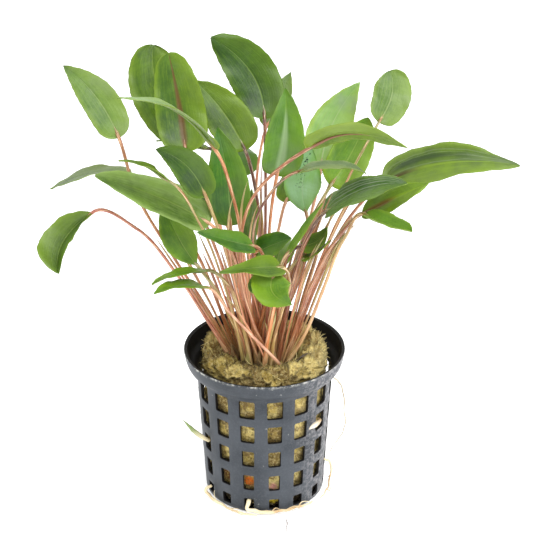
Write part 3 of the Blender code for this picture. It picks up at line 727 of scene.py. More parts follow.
def make_leaf_skin():
    tree, given, result = new_group(
        "leaf_skin",
        (("Place", "v"), ("Where", "v"), ("Deep", "c"), ("Fresh", "c"), ("Margin", "c"), ("Rib", "c"),
         ("Rib Width", "f"), ("Rib End", "f"), ("Painted Sheen", "f"), ("Shade", "f"), ("Stripes", "f"),
         ("Specks", "f"), ("Stripe", "c"), ("Valley Shade", "f")),
        (("Colour", "c"), ("Roughness", "f"), ("Height", "f")))
    where = given["Where"]
    place = split(tree, given["Place"])
    side, share = place["X"], place["Y"]
    off = calc(tree, "ABSOLUTE", side)
    large, mottle = cloud(tree, where, 95, 2), cloud(tree, where, 260, 3, 0.6)
    small = cloud(tree, where, 700, 4)
    grain = add(tree, "ShaderNodeTexVoronoi", {"Vector": where, "Scale": 1500}).outputs["Distance"]
    fibres = cloud(tree, scaled(tree, given["Place"], (5.5, 2.2, 31.0)), 3.0, 5, 0.7)

    wander = calc(tree, "MULTIPLY_ADD", large, 0.16, off)
    veins = fade(tree, calc(tree, "COSINE", calc(tree, "MULTIPLY", wander, 31.0)), 0.55, 1.0)
    slant = calc(tree, "MULTIPLY_ADD", off, 7.0, calc(tree, "MULTIPLY", share, 92.0))
    bars = fade(tree, calc(tree, "SINE", calc(tree, "MULTIPLY_ADD", small, 4.0, slant)), 0.1, 1.0)

    colour = leaf_greens(tree, given, side, off, share, (large, mottle, fibres, bars, veins))
    colour = leaf_rib(tree, given, colour, off, share)
    # painted sheen: greyish patches where the blade looks glossier, with lower roughness there
    painted_sheen = calc(tree, "MULTIPLY", fade(tree, cloud(tree, where, 70, 3), 0.47, 0.62), given["Painted Sheen"])
    colour = blend(tree, painted_sheen, colour, paint(0.25, 0.28, 0.25))
    specks = fade(tree, cloud(tree, where, 1500, 3, 0.7), 0.56, 0.62)
    specks = calc(tree, "MULTIPLY", specks, lane(tree, side, -0.15, 0.15, 0.3))
    specks = calc(tree, "MULTIPLY", specks, fade(tree, share, 0.3, 0.5))
    colour = tint(tree, colour, specks, given["Specks"], paint(0.01, 0.03, 0.02))

    rough = calc(tree, "MULTIPLY_ADD", small, 0.25, 0.24)
    rough = calc(tree, "MULTIPLY_ADD", painted_sheen, -0.1, rough)
    height = calc(tree, "MULTIPLY_ADD", veins, -0.5, calc(tree, "MULTIPLY", grain, 0.5))
    height = calc(tree, "MULTIPLY_ADD", bars, -0.25, height)
    height = calc(tree, "MULTIPLY_ADD", fibres, 1.2, height)
    hand_out(tree, result, colour, rough, height)
    return tree


LEAF_SKIN = make_leaf_skin()
print("leaf_skin has", len(LEAF_SKIN.nodes), "nodes")

# %% [markdown]
# ### Greens
#
# No two leaves of the plant are the same green: young ones are bright, the ones in the middle dark,
# those turned to the light pale, and some carry a painted greyish sheen. A few have a brown midrib.
# Each look is the same group with its own four colours.

# %% Leaf materials
# deep and fresh green, margin and midrib
GREENS = {
    "deep": ((0.012, 0.042, 0.002), (0.028, 0.078, 0.004), (0.09, 0.17, 0.009), (0.11, 0.18, 0.03)),
    "mid": ((0.042, 0.092, 0.006), (0.084, 0.164, 0.010), (0.15, 0.24, 0.015), (0.16, 0.23, 0.04)),
    "dark": ((0.022, 0.080, 0.007), (0.046, 0.145, 0.012), (0.11, 0.21, 0.014), (0.13, 0.21, 0.05)),
    "bright": ((0.060, 0.145, 0.007), (0.105, 0.225, 0.011), (0.18, 0.29, 0.016), (0.19, 0.28, 0.04)),
    "pale": ((0.066, 0.135, 0.020), (0.125, 0.215, 0.040), (0.18, 0.27, 0.045), (0.19, 0.26, 0.08)),
    "sheen": ((0.062, 0.130, 0.009), (0.132, 0.238, 0.026), (0.26, 0.38, 0.100), (0.19, 0.28, 0.05)),
    "light": ((0.200, 0.360, 0.090), (0.310, 0.490, 0.170), (0.28, 0.41, 0.06), (0.34, 0.45, 0.20)),
    "silver": ((0.140, 0.240, 0.070), (0.250, 0.370, 0.150), (0.22, 0.32, 0.08), (0.30, 0.38, 0.20)),
    "grey": ((0.036, 0.090, 0.014), (0.080, 0.155, 0.026), (0.13, 0.22, 0.030), (0.11, 0.15, 0.05)),
    "ashen": ((0.092, 0.143, 0.052), (0.158, 0.218, 0.096), (0.20, 0.27, 0.07), (0.20, 0.25, 0.12)),
    "blue": ((0.180, 0.340, 0.135), (0.300, 0.480, 0.320), (0.17, 0.36, 0.04), (0.26, 0.40, 0.20)),
    "ribbed": ((0.030, 0.078, 0.005), (0.064, 0.138, 0.008), (0.15, 0.24, 0.012), (0.12, 0.050, 0.015)),
    "bronze": ((0.070, 0.130, 0.008), (0.125, 0.220, 0.014), (0.17, 0.27, 0.016), (0.18, 0.070, 0.022)),
    "necked": ((0.060, 0.105, 0.020), (0.115, 0.195, 0.016), (0.16, 0.25, 0.020), (0.060, 0.035, 0.010)),
    # striped: its pale midrib colour is a painted sheen stripe
    "striped": ((0.052, 0.140, 0.010), (0.086, 0.205, 0.015), (0.12, 0.23, 0.016), (0.24, 0.35, 0.16)),
    "under": ((0.085, 0.150, 0.016), (0.140, 0.225, 0.028), (0.20, 0.29, 0.03), (0.16, 0.22, 0.05)),
}
TRAIT_NAMES = ("Rib Width", "Rib End", "Painted Sheen", "Shade", "Stripes", "Specks", "Valley Shade")
# the traits of most greens, and then those of the others
PLAIN = (0.05, 1.0, 0.05, 0.0, 0.0, 0.0, 0.0)
TRAITS = {
    "light": (0.06, 1.0, 0.4, 0.0, 0.2, 0.0, 0.0), "silver": (0.08, 1.0, 0.4, 0.0, 0.0, 0.0, 0.0),
    "grey": (0.05, 1.0, 0.1, 0.2, 0.7, 0.0, 0.2), "ashen": (0.05, 1.0, 0.2, 0.0, 0.0, 0.0, 0.0),
    "blue": (0.05, 1.0, 0.1, 0.7, 0.0, 1.0, 0.0), "ribbed": (0.20, 1.2, 0.05, 0.0, 0.0, 0.0, 0.0),
    "bronze": (0.34, 0.45, 0.0, 0.0, 0.0, 0.0, 0.0), "necked": (0.14, 0.25, 0.05, 0.4, 0.2, 0.0, 0.8),
    "striped": (0.30, 0.75, 0.1, 0.0, 0.0, 0.0, 0.0), "pale": (0.05, 1.0, 0.15, 0.0, 0.1, 0.0, 0.0),
}


def leaf_look(name):
    look, tree, shader = new_look("leaf_" + name)
    # Stripe is the colour of the painted sheen stripes
    inputs = {"Place": on_skin(tree), "Where": in_object(tree), "Stripe": paint(0.24, 0.28, 0.20)}
    inputs.update(zip(("Deep", "Fresh", "Margin", "Rib"), (paint(*colour) for colour in GREENS[name])))
    inputs.update(zip(TRAIT_NAMES, TRAITS.get(name, PLAIN)))
    skin = add(tree, "ShaderNodeGroup", inputs, node_tree=LEAF_SKIN).outputs
    dress(tree, shader, skin["Colour"], skin["Roughness"], skin["Height"], 0.05, 0.6)
    shader.inputs["Specular IOR Level"].default_value = 0.25
    return look


LEAF_LOOKS = {name: leaf_look(name) for name in GREENS}
# leaves whose green isn't the one in the table
OWN_LOOKS = {
    "leaf_03": "ribbed", "leaf_04": "silver", "leaf_07": "deep", "leaf_08": "deep", "leaf_10": "striped",
    "leaf_11": "ashen", "leaf_12": "sheen", "leaf_15": "bright", "leaf_23": "bright", "leaf_24": "bright",
    "leaf_25": "light", "leaf_26": "bronze", "leaf_27": "blue", "leaf_28": "ashen", "leaf_29": "bright",
    "leaf_31": "necked", "leaf_33": "bronze",
}
print(len(LEAF_LOOKS), "greens")

# %% [markdown]
# ### Stalk colours
#
# The stalks are what makes this kind warm in colour: salmon and rust, some maroon, some olive. Each is
# streaked lengthwise, pale straw at its foot and often darker at its neck.

# %% The stalk_skin group and its materials
def make_stalk_skin():
    tree, given, result = new_group(
        "stalk_skin",
        (("Place", "v"), ("Where", "v"), ("Foot", "c"), ("Middle", "c"), ("Neck", "c"), ("Under", "c")),
        (("Colour", "c"), ("Roughness", "f"), ("Height", "f")))
    share = split(tree, given["Place"])["Z"]
    # streaks that run along the stalk, and differ from one stalk to the next
    apart = scaled(tree, given["Where"], (420, 420, 45))
    drawn = add(tree, "ShaderNodeVectorMath", {0: given["Place"], 1: (1.6, 1.6, 1.5), 2: apart},
                operation="MULTIPLY_ADD").outputs["Vector"]
    streak = cloud(tree, drawn, 1.3, 4, 0.65)
    wide = cloud(tree, apart, 0.45, 2)
    blotch = cloud(tree, given["Place"], 5, 2)
    low = fade(tree, calc(tree, "MULTIPLY_ADD", blotch, 0.18, share), 0.06, 0.34)
    colour = blend(tree, low, given["Foot"], given["Middle"])
    high = fade(tree, calc(tree, "MULTIPLY_ADD", blotch, 0.3, share), 0.72, 1.12)
    colour = blend(tree, high, colour, given["Neck"])
    colour = tint(tree, colour, fade(tree, wide, 0.5, 0.36), 0.55, paint(0.30, 0.078, 0.024))
    # the pale and dark streaks are the stalk's own streaking and also painted highlights and painted shade
    colour = tint(tree, colour, fade(tree, streak, 0.5, 0.64), 0.65, paint(0.95, 0.69, 0.40))
    colour = tint(tree, colour, fade(tree, streak, 0.47, 0.33), 0.6, paint(0.25, 0.055, 0.016))
    colour = blend(tree, fade(tree, share, 0.98, 1.05), colour, given["Under"])
    hand_out(tree, result, colour, calc(tree, "MULTIPLY_ADD", streak, 0.2, 0.2), streak)
    return tree


STALK_SKIN = make_stalk_skin()
GREEN_RIB, BROWN_RIB = (0.13, 0.20, 0.03), (0.20, 0.080, 0.030)
# colours at the foot, in the middle, at the neck and of the midrib under the blade
STALK_TONES = {
    "salmon": ((0.60, 0.42, 0.18), (0.76, 0.28, 0.11), (0.52, 0.18, 0.065), GREEN_RIB),
    "pink": ((0.66, 0.44, 0.24), (0.80, 0.30, 0.17), (0.62, 0.20, 0.11), GREEN_RIB),
    "rust": ((0.48, 0.32, 0.13), (0.46, 0.17, 0.055), (0.25, 0.095, 0.03), GREEN_RIB),
    "ribbed": ((0.48, 0.32, 0.14), (0.46, 0.17, 0.08), (0.25, 0.085, 0.035), BROWN_RIB),
    "orange": ((0.50, 0.34, 0.12), (0.58, 0.23, 0.09), (0.46, 0.17, 0.06), GREEN_RIB),
    "maroon": ((0.38, 0.20, 0.10), (0.22, 0.065, 0.036), (0.055, 0.016, 0.012), GREEN_RIB),
    "olive": ((0.42, 0.36, 0.13), (0.44, 0.30, 0.10), (0.19, 0.19, 0.05), GREEN_RIB),
    "straw": ((0.56, 0.44, 0.20), (0.62, 0.36, 0.16), (0.30, 0.26, 0.07), GREEN_RIB),
    "young": ((0.56, 0.42, 0.20), (0.80, 0.32, 0.17), (0.26, 0.26, 0.07), GREEN_RIB),
    "young_olive": ((0.54, 0.42, 0.18), (0.48, 0.36, 0.12), (0.17, 0.24, 0.05), GREEN_RIB),
    "young_rust": ((0.48, 0.32, 0.13), (0.40, 0.13, 0.045), (0.24, 0.11, 0.035), GREEN_RIB),
    "peach": ((0.62, 0.46, 0.28), (0.84, 0.46, 0.30), (0.66, 0.34, 0.20), GREEN_RIB),
    "rose": ((0.56, 0.36, 0.16), (0.52, 0.165, 0.105), (0.44, 0.13, 0.09), GREEN_RIB),
}


def stalk_look(name):
    look, tree, shader = new_look("stalk_" + name)
    inputs = {"Place": on_skin(tree), "Where": in_object(tree)}
    inputs.update(zip(("Foot", "Middle", "Neck", "Under"), (paint(*colour) for colour in STALK_TONES[name])))
    skin = add(tree, "ShaderNodeGroup", inputs, node_tree=STALK_SKIN).outputs
    # painted shade: the stalk darkens towards its edges, where it turns from the eye
    colour = painted_edge_shade(tree, skin["Colour"], 0.35, 0.85, 0.75, paint(0.17, 0.050, 0.024))
    shader.inputs["Specular IOR Level"].default_value = 0.7
    dress(tree, shader, colour, skin["Roughness"], skin["Height"], 0.06, 0.5)
    return look


STALK_LOOKS = {name: stalk_look(name) for name in STALK_TONES}
# stalks that aren't salmon
STALK_OF = {
    "leaf_01": "rust", "leaf_03": "ribbed", "leaf_04": "orange", "leaf_05": "maroon", "leaf_07": "straw",
    "leaf_08": "maroon", "leaf_11": "rust", "leaf_13": "olive", "leaf_14": "rose", "leaf_15": "olive",
    "leaf_16": "rust", "leaf_19": "olive", "leaf_23": "olive", "leaf_24": "peach", "leaf_26": "ribbed",
    "leaf_28": "maroon", "leaf_29": "olive", "leaf_30": "olive", "leaf_31": "ribbed", "leaf_32": "maroon",
    "leaf_33": "ribbed", "leaf_34": "straw", "leaf_38": "maroon", "leaf_22": "straw", "leaf_35": "straw",
    "leaf_18": "olive", "leaf_02": "pink", "leaf_09": "pink", "leaf_25": "peach", "leaf_12": "peach",
    "leaf_06": "rust", "leaf_21": "maroon", "leaf_27": "rust", "leaf_37": "maroon", "leaf_41": "peach",
}
print(len(STALK_LOOKS), "stalk colours")

# %% Grow the leaves
for name, leaf in LEAVES.items():
    bm = bmesh.new()
    blade_skin(bm, name)
    stalk_skin(bm, name)
    looks = (LEAF_LOOKS[OWN_LOOKS.get(name, leaf[6])], LEAF_LOOKS["under"],
             STALK_LOOKS[STALK_OF.get(name, "salmon")])
    grown = piece("grown_" + name, bm, looks, "leaf_" + leaf[6], name)
print("each leaf has", len(grown.data.polygons), "faces")

# %% [markdown]
# ### Young leaves
#
# Between the grown stalks stand many young ones, whose blades are still rolled up into a point. Each
# follows a line between two neighbouring stalks and ends part of the way up.

# %% Young rolled leaves
YOUNG_ROWS, YOUNG_SIDES = 40, 8


def young_leaf(bm, first, second, mix, reach, thick, slot):
    """Adds a rolled leaf that follows a line between two stalks for a share of their length."""
    line = np.array(STALKS[first][:5]) * (1 - mix) + np.array(STALKS[second][:5]) * mix
    points, _ = path(line, YOUNG_ROWS)
    points = points[:int(YOUNG_ROWS * reach)]
    points[0] -= (0, 0, 1.5)
    share = np.linspace(0, 1, len(points))
    radii = thick * flowing((0, 0.12, 0.5, 0.78, 0.93, 1), (1.7, 1.05, 0.85, 1.15, 0.6, 0.06), share)
    flat = flowing((0, 0.5, 0.8, 1), (1, 0.9, 0.6, 0.5), share)
    rings, marks = tube_rings(points, radii, YOUNG_SIDES, flat)
    rolled(bm, rings, marks, slot=slot)


def neighbours(name, count):
    """The stalks whose middles are nearest to that of one stalk."""
    middle = np.array(STALKS[name][2])
    others = sorted(STALKS, key=lambda other: np.linalg.norm(STALKS[other][2] - middle))
    return others[1:count + 1]


chance = random.Random(21)
young_bm = bmesh.new()
for name in STALKS:
    outer = LEAVES[name][0][0] > 12
    for other in neighbours(name, 3)[:2 + outer if chance.random() < 0.6 or outer else 1]:
        reach = chance.uniform(0.7, 0.95) if outer else chance.uniform(0.35, 0.85)
        young_leaf(young_bm, name, other, chance.uniform(0.3, 0.7), reach, chance.uniform(0.32, 0.5),
                   chance.choice((0, 0, 1, 2, 2)))
young_looks = [STALK_LOOKS[tone] for tone in ("young", "young_olive", "young_rust")]
young = piece("young_leaves", young_bm, young_looks, "leaf_mid")
print("young leaves have", len(young.data.polygons), "faces")

# %% [markdown]
# ## The net pot
#
# The pot is one moulding of soft grey plastic about a millimetre thick: a slightly tapered wall with
# five rows of windows with rounded corners, a plain band under a flared lip, and slots in its base. A
# grid is rolled up with lines where the windows' edges are, the cells inside the windows are left out,
# and the corners are drawn in to arcs. Then a Solidify gives the wall and a Bevel softens the edges.

# %% Sizes of the pot
COLUMNS = 15
COLUMN_TURN = 9.2
WALL = 1.0
HUB_R, SLOT_OUT_R, BASE_R = 6.0, 15.5, 20.5
NECK_R, NECK_Z = 23.3, 46.4
# lower and upper edge of each row of windows in millimetres, and their width in degrees
WINDOW_ROWS = ((1.8, 5.9, 9.7), (9.6, 15.7, 10.3), (19.4, 25.6, 11.3), (29.2, 35.9, 12.6),
               (39.0, 45.9, 13.6))
# radius and height of the rings that make the lip and of those that round the foot
LIP = ((23.9, 47.7), (24.8, 48.2), (26.0, 48.9), (26.5, 49.8), (27.0, 51.4), (27.35, 53.4), (27.5, 54.1),
       (27.4, 54.45))
FOOT = ((BASE_R - 1.6, 0), (BASE_R - 0.5, 0.12), (BASE_R - 0.05, 0.6))
CORNER = 0.5
# grid lines over a window, from edge to edge, and two more between windows
ACROSS_WINDOW = (-1.0, -0.86, -0.62, 0.0, 0.62, 0.86, 1.0)
LINES = (*ACROSS_WINDOW, 1.35, 1.65)
print(COLUMNS * len(WINDOW_ROWS), "windows")

# %% Lines round and up the pot
def around(radius, degrees, height):
    """A point at a distance from the pot's axis, turned from the front towards the right."""
    turn = math.radians(degrees)
    return (radius * math.sin(turn), -radius * math.cos(turn), height)


def wall_radius(height):
    return BASE_R + (NECK_R - BASE_R) * height / NECK_Z


def pot_rings():
    """Each ring from hub to lip: radius, height, width of its windows, and place in them from -1 to 1."""
    first = WINDOW_ROWS[0][2]
    slot_middle, slot_half = (HUB_R + SLOT_OUT_R) / 2, (SLOT_OUT_R - HUB_R) / 2
    rings = [(slot_middle + slot_half * u, 0, first, u) for u in ACROSS_WINDOW]
    rings += [(radius, height, first, None) for radius, height in FOOT]
    for number, (low, high, width) in enumerate(WINDOW_ROWS):
        for u in ACROSS_WINDOW:
            height = (low + high) / 2 + (high - low) / 2 * u
            rings.append((wall_radius(height), height, width, u))
        if number + 1 < len(WINDOW_ROWS):
            above = (high + WINDOW_ROWS[number + 1][0]) / 2
            wider = (width + WINDOW_ROWS[number + 1][2]) / 2
            rings.append((wall_radius(above), above, wider, None))
    rings += [(radius, height, WINDOW_ROWS[-1][2], None) for radius, height in LIP]
    return rings


RINGS = pot_rings()
print(len(RINGS), "rings of", COLUMNS * len(LINES), "corners")

# %% [markdown]
# A corner of a window is rounded by moving each grid point of its border that lies in the corner onto
# an arc. What counts as the corner is measured in millimetres, so that wide and narrow windows get the
# same arc.

# %% Roll, cut and round
def window_of(row):
    """Lower and upper edge of the window or slot that a ring belongs to."""
    if row < len(ACROSS_WINDOW):
        return HUB_R, SLOT_OUT_R
    return WINDOW_ROWS[(row - len(ACROSS_WINDOW) - len(FOOT)) // (len(ACROSS_WINDOW) + 1)][:2]


def pot_point(column, row):
    """Where a corner of the grid lies on the pot, in millimetres."""
    radius, height, width, up = RINGS[row]
    line = LINES[column % len(LINES)]
    pitch = 360 / COLUMNS
    half_angle = width / 2
    if line > 1:
        share = 1 / 3 if line < 1.5 else 2 / 3
        angle = half_angle + (pitch - width) * share
    else:
        angle = half_angle * line
    if up is not None and line <= 1 and max(abs(up), abs(line)) == 1:
        half_wide = math.radians(half_angle) * radius
        low, high = window_of(row)
        half_high = (high - low) / 2
        x, y = abs(line) * half_wide, abs(up) * half_high
        cx, cy = half_wide - CORNER, half_high - CORNER
        if x > cx and y > cy:
            far = math.hypot(x - cx, y - cy)
            x, y = cx + (x - cx) * CORNER / far, cy + (y - cy) * CORNER / far
            angle = math.copysign(math.degrees(x / radius), line)
            middle = (low + high) / 2
            if row < len(ACROSS_WINDOW):
                radius = middle + math.copysign(y, up)
            else:
                height = middle + math.copysign(y, up)
                radius = wall_radius(height)
    return around(radius, COLUMN_TURN + pitch * (column // len(LINES)) + angle, height)


def net_pot():
    """The wall of the pot as one sheet, open at its windows, slots and top."""
    columns, rows = COLUMNS * len(LINES), len(RINGS)
    bm = bmesh.new()
    bmesh.ops.create_grid(bm, x_segments=columns, y_segments=rows - 1, size=1)
    bm.faces.ensure_lookup_table()
    open_faces = []
    for face in bm.faces:
        face.smooth = True
        middle = face.calc_center_median()
        column = int((middle.x + 1) / 2 * columns)
        row = int((middle.y + 1) / 2 * (rows - 1))
        inside = column % len(LINES) < len(ACROSS_WINDOW) - 1
        if inside and RINGS[row][3] is not None and RINGS[row + 1][3] is not None:
            open_faces.append(face)
    for corner in bm.verts:
        column = round((corner.co.x + 1) / 2 * columns) % columns
        row = round((corner.co.y + 1) / 2 * (rows - 1))
        corner.co = Vector(pot_point(column, row)) * MM
    bmesh.ops.remove_doubles(bm, verts=bm.verts, dist=MERGE)
    hub = [edge for edge in bm.edges if edge.is_boundary
           and all(v.co.xy.length < (HUB_R + 0.4) * MM for v in edge.verts)]
    bmesh.ops.contextual_create(bm, geom=hub)
    bmesh.ops.delete(bm, geom=[face for face in open_faces if face.is_valid], context="FACES")
    return bm


pot_bm = net_pot()
print("pot wall", len(pot_bm.faces), "faces before it gets its thickness")

# %% [markdown]
# ### Plastic of the pot
#
# The outside is a dull slate grey with pale specks of lime and wool dust, paler in patches along the top
# of the lip, and with a painted sheen in patches on its right side. The inside and the window edges carry
# near-black painted shade. The wear and the sheen are a group of their own, so that a pot of another
# colour can wear the same way.

# %% Pot materials
def make_wear_and_sheen():
    tree, given, result = new_group("scuffed_plastic_and_sheen", (("Where", "v"), ("Plastic", "c")),
                                    (("Colour", "c"), ("Roughness", "f"), ("Height", "f")))
    where = given["Where"]
    at = split(tree, where)
    large, small = cloud(tree, where, 60, 3), cloud(tree, where, 1400, 3, 0.7)
    colour = blend(tree, fade(tree, large, 0.3, 0.7), given["Plastic"], paint(0.052, 0.060, 0.072))
    colour = tint(tree, colour, fade(tree, small, 0.45, 0.7), 0.3, paint(0.095, 0.105, 0.12))
    flecks = calc(tree, "MULTIPLY", fade(tree, cloud(tree, where, 420, 4, 0.7), 0.66, 0.72), 0.5)
    # paler in patches along the top of the lip
    lip = calc(tree, "MULTIPLY", fade(tree, at["Z"], 53.3 * MM, 54.3 * MM), 0.9)
    lip = calc(tree, "MULTIPLY", lip, fade(tree, cloud(tree, where, 520, 5, 0.75), 0.46, 0.62))
    colour = blend(tree, calc(tree, "MAXIMUM", flecks, lip), colour, paint(0.50, 0.50, 0.46))
    # painted sheen: the right side of the pot is paler in patches
    sheen_patches = fade(tree, cloud(tree, where, 700, 5, 0.75), 0.42, 0.62)
    right = calc(tree, "MULTIPLY", fade(tree, at["X"], 8 * MM, 22 * MM), sheen_patches)
    colour = tint(tree, colour, right, 0.9, paint(0.26, 0.25, 0.26))
    rough = calc(tree, "MULTIPLY_ADD", small, 0.25, 0.36)
    hand_out(tree, result, colour, rough, calc(tree, "MULTIPLY_ADD", small, 0.6, large))
    return tree


WEAR_AND_SHEEN = make_wear_and_sheen()
SLATE = paint(0.0245, 0.0305, 0.039)
pot_outside, outside_tree, outside_shader = new_look("pot_outside")
outside = add(outside_tree, "ShaderNodeGroup", {"Where": in_object(outside_tree), "Plastic": SLATE},
              node_tree=WEAR_AND_SHEEN).outputs
dress(outside_tree, outside_shader, outside["Colour"], outside["Roughness"], outside["Height"], 0.08, 0.5)
outside_shader.inputs["Specular IOR Level"].default_value = 0.3

# painted shade: the inside of the wall and the window edges are near black
pot_inside, inside_tree, inside_shader = new_look("pot_inside")
inside_cloud = cloud(inside_tree, in_object(inside_tree), 300, 4)
inside_painted_shade = blend(inside_tree, inside_cloud, paint(0.003, 0.003, 0.003), paint(0.014, 0.013, 0.013))
dress(inside_tree, inside_shader, inside_painted_shade, calc(inside_tree, "MULTIPLY_ADD", inside_cloud, 0.3, 0.4),
      inside_cloud, 0.08, 0.5)
inside_shader.inputs["Specular IOR Level"].default_value = 0.2
print("pot materials ready")

# %% The finished pot
pot = piece("pot_with_windows", pot_bm, (pot_outside, pot_inside), "pot_plastic", "net_pot")
# the wall grows inwards, so its sheet has to face outwards
if sum(f.normal.dot(Vector((*f.center.xy, 0))) * f.area for f in pot.data.polygons) < 0:
    pot.data.flip_normals()
wall = pot.modifiers.new("wall", "SOLIDIFY")
wall.thickness = WALL * MM
wall.offset = -1
wall.use_even_offset = True
# the inside and the window edges take the near-black painted shade
wall.material_offset = wall.material_offset_rim = 1
soft = pot.modifiers.new("soft_edges", "BEVEL")
soft.width = 0.16 * MM
soft.segments = 2
soft.limit_method = "ANGLE"
soft.angle_limit = math.radians(50)
soft.material = 0
print("pot", [round(v * 1000, 1) for v in pot.dimensions], "mm")

# %% [markdown]
# ## The plug of mineral wool
#
# The plug is a wad of pressed fibres, torn open at the top where the plant was set in. Its surface is
# a heap of clumps with dark creases between them. The same smooth profile as the solid's is rolled
# round, then pushed in and out by a noise with rounded cells, and loose fibres are laid over it.

# %% Shape of the plug
# radius and height of the side line, from the hollow at the top down to the base, a pair for each row
WOOL = np.array((
    (5.0, 47.4), (10.2, 47.8), (12.2, 50.2), (14.2, 52.2), (17.4, 53.5), (20.2, 53.2), (21.2, 50.2),
    (21.0, 42.0), (20.3, 32.0), (19.5, 20.0), (18.8, 9.0), (17.8, 1.7), (9.0, 1.6)))
# how much nearer to the axis the first rows lie at the front and back than at the sides
SQUEEZE = (0.24, 0.26, 0.22, 0.16, 0.07, 0.0)
# mounds of the torn top: where they are in degrees, how far out, how wide and how high
LUMPS = (
    (-62, 17, 7, 1.6), (-28, 19, 6, 1.4), (4, 19, 6, 0.8), (34, 18, 7, 1.8), (72, 17, 7, 2.4),
    (104, 18, 6, 2.8), (140, 18, 7, 2.2), (178, 19, 7, 1.0), (-146, 18, 7, 2.4), (-106, 17, 7, 2.8))


def wool_base(turn, row):
    """A point of the plug without its clumps, and the way out of it."""
    radius, height = flowing(np.arange(len(WOOL)), WOOL, row)
    before = flowing(np.arange(len(WOOL)), WOOL, row - 0.05)
    after = flowing(np.arange(len(WOOL)), WOOL, row + 0.05)
    slope = after - before
    out = np.array((slope[1], -slope[0])) * -1
    front = math.cos(math.radians(turn)) ** 2
    radius *= 1 - front * np.interp(row, range(len(SQUEEZE)), SQUEEZE)
    radius -= 1.1 * np.interp(row, (3, 4.6, 7, 7.8), (0, 1, 1, 0)) * (1 - front) ** 8
    if 2 < row < len(WOOL) - 2:
        wave = math.sin(math.radians(turn * 5 + row * 80))
        wave += 0.6 * math.sin(math.radians(turn * 11 - row * 50))
        radius += 0.22 * wave
    rise = np.interp(row, (1, 2, 3, 6, 7), (0, 0.4, 1, 1, 0))
    if rise > 0:
        x, y, _ = around(radius, turn, 0)
        for lump_turn, far, wide, high in LUMPS:
            cx, cy, _ = around(far, lump_turn, 0)
            height += rise * high * math.exp(-((x - cx) ** 2 + (y - cy) ** 2) / (wide / 2) ** 2)
    out /= np.linalg.norm(out) + 1e-9
    way = Vector(around(-out[0], turn, -out[1]))
    return Vector(around(radius, turn, height)), way


# the stand that leaves the surface where the smooth profile is
EVEN = 0.35


def clumps(point):
    """How far the surface stands out at a point, about -1 to 1, and the tone of its tuft."""
    bend = noise.noise_vector(point * 0.22) * 2.0 + noise.noise_vector(point * 0.8) * 0.5
    far, cells = noise.voronoi(point * 0.23 + bend * 0.35)
    finer, _ = noise.voronoi(point * 0.62 + bend * 0.9)
    tuft = 1 - (1 - min((far[1] - far[0]) / 0.45, 1)) ** 2
    strand = 1 - (1 - min((finer[1] - finer[0]) / 0.4, 1)) ** 2
    tatter = noise.fractal(point * 1.4, 0.8, 2.1, 4)
    stand = -0.75 + 1.25 * tuft + 0.5 * noise.noise(cells[0] * 7.3) + 0.45 * strand + 0.25 * tatter
    return stand, noise.noise(cells[0] * 11.1)


def wool_depth(row):
    """How far in millimetres clumps may move the surface: much at the torn top, little at the wall."""
    return float(np.interp(row, (1, 2.2, 5.5, 7), (0.8, 2.3, 2.0, 0.6)))


def wool_point(turn, row):
    """A point of the finished surface, the way out of it, how far it stands out, and its tone."""
    point, way = wool_base(turn, row)
    stand, tone = clumps(point)
    return point + way * (stand - EVEN) * wool_depth(row), way, stand, tone


print("tuft at the front of the rim:", [round(value, 2) for value in clumps(Vector((0, -19, 53)))])

# %% The skin of the plug
# rows of the hollow, of the torn top and of the side, and corners round the plug
WOOL_ROWS = np.concatenate([np.linspace(0, 1.9, 22), np.linspace(2, 6.9, 84), np.linspace(7, 12, 96)])
WOOL_TURNS = np.linspace(0, 360, 250, endpoint=False)


def wool_skin():
    points = np.empty((len(WOOL_ROWS), len(WOOL_TURNS), 3))
    marks = np.zeros_like(points)
    for r, row in enumerate(WOOL_ROWS):
        for c, turn in enumerate(WOOL_TURNS):
            points[r, c], _, stand, tone = wool_point(turn, row)
            marks[r, c] = (stand, tone, row / WOOL_ROWS[-1])
    bm = bmesh.new()
    rolled(bm, points, marks)
    return bm


wool_bm = wool_skin()
print("plug skin", len(wool_bm.faces), "faces")

# %% [markdown]
# ### Colour of the wool
#
# Fresh wool is yellow. In the pot it has turned mustard and olive, and brown where it is wet. It is
# nearly black towards the bottom; its creases carry painted shade and its right side painted light. Here
# and there a bit of another colour shows through a window: rust, pink and yellow.

# %% The wool_tint group and the wool's material
# bits of another colour behind the windows: where, how large in millimetres, and their colour
SHOWING_THROUGH = (
    (around(19.4, -16, 12.2), 2.9, (0.55, 0.13, 0.015)), (around(19.4, 9, 9.8), 2.3, (0.74, 0.36, 0.28)),
    (around(18.6, 9, 4.8), 2.4, (0.55, 0.42, 0.03)), (around(19.4, -40, 12.6), 3.6, (0.11, 0.040, 0.012)))


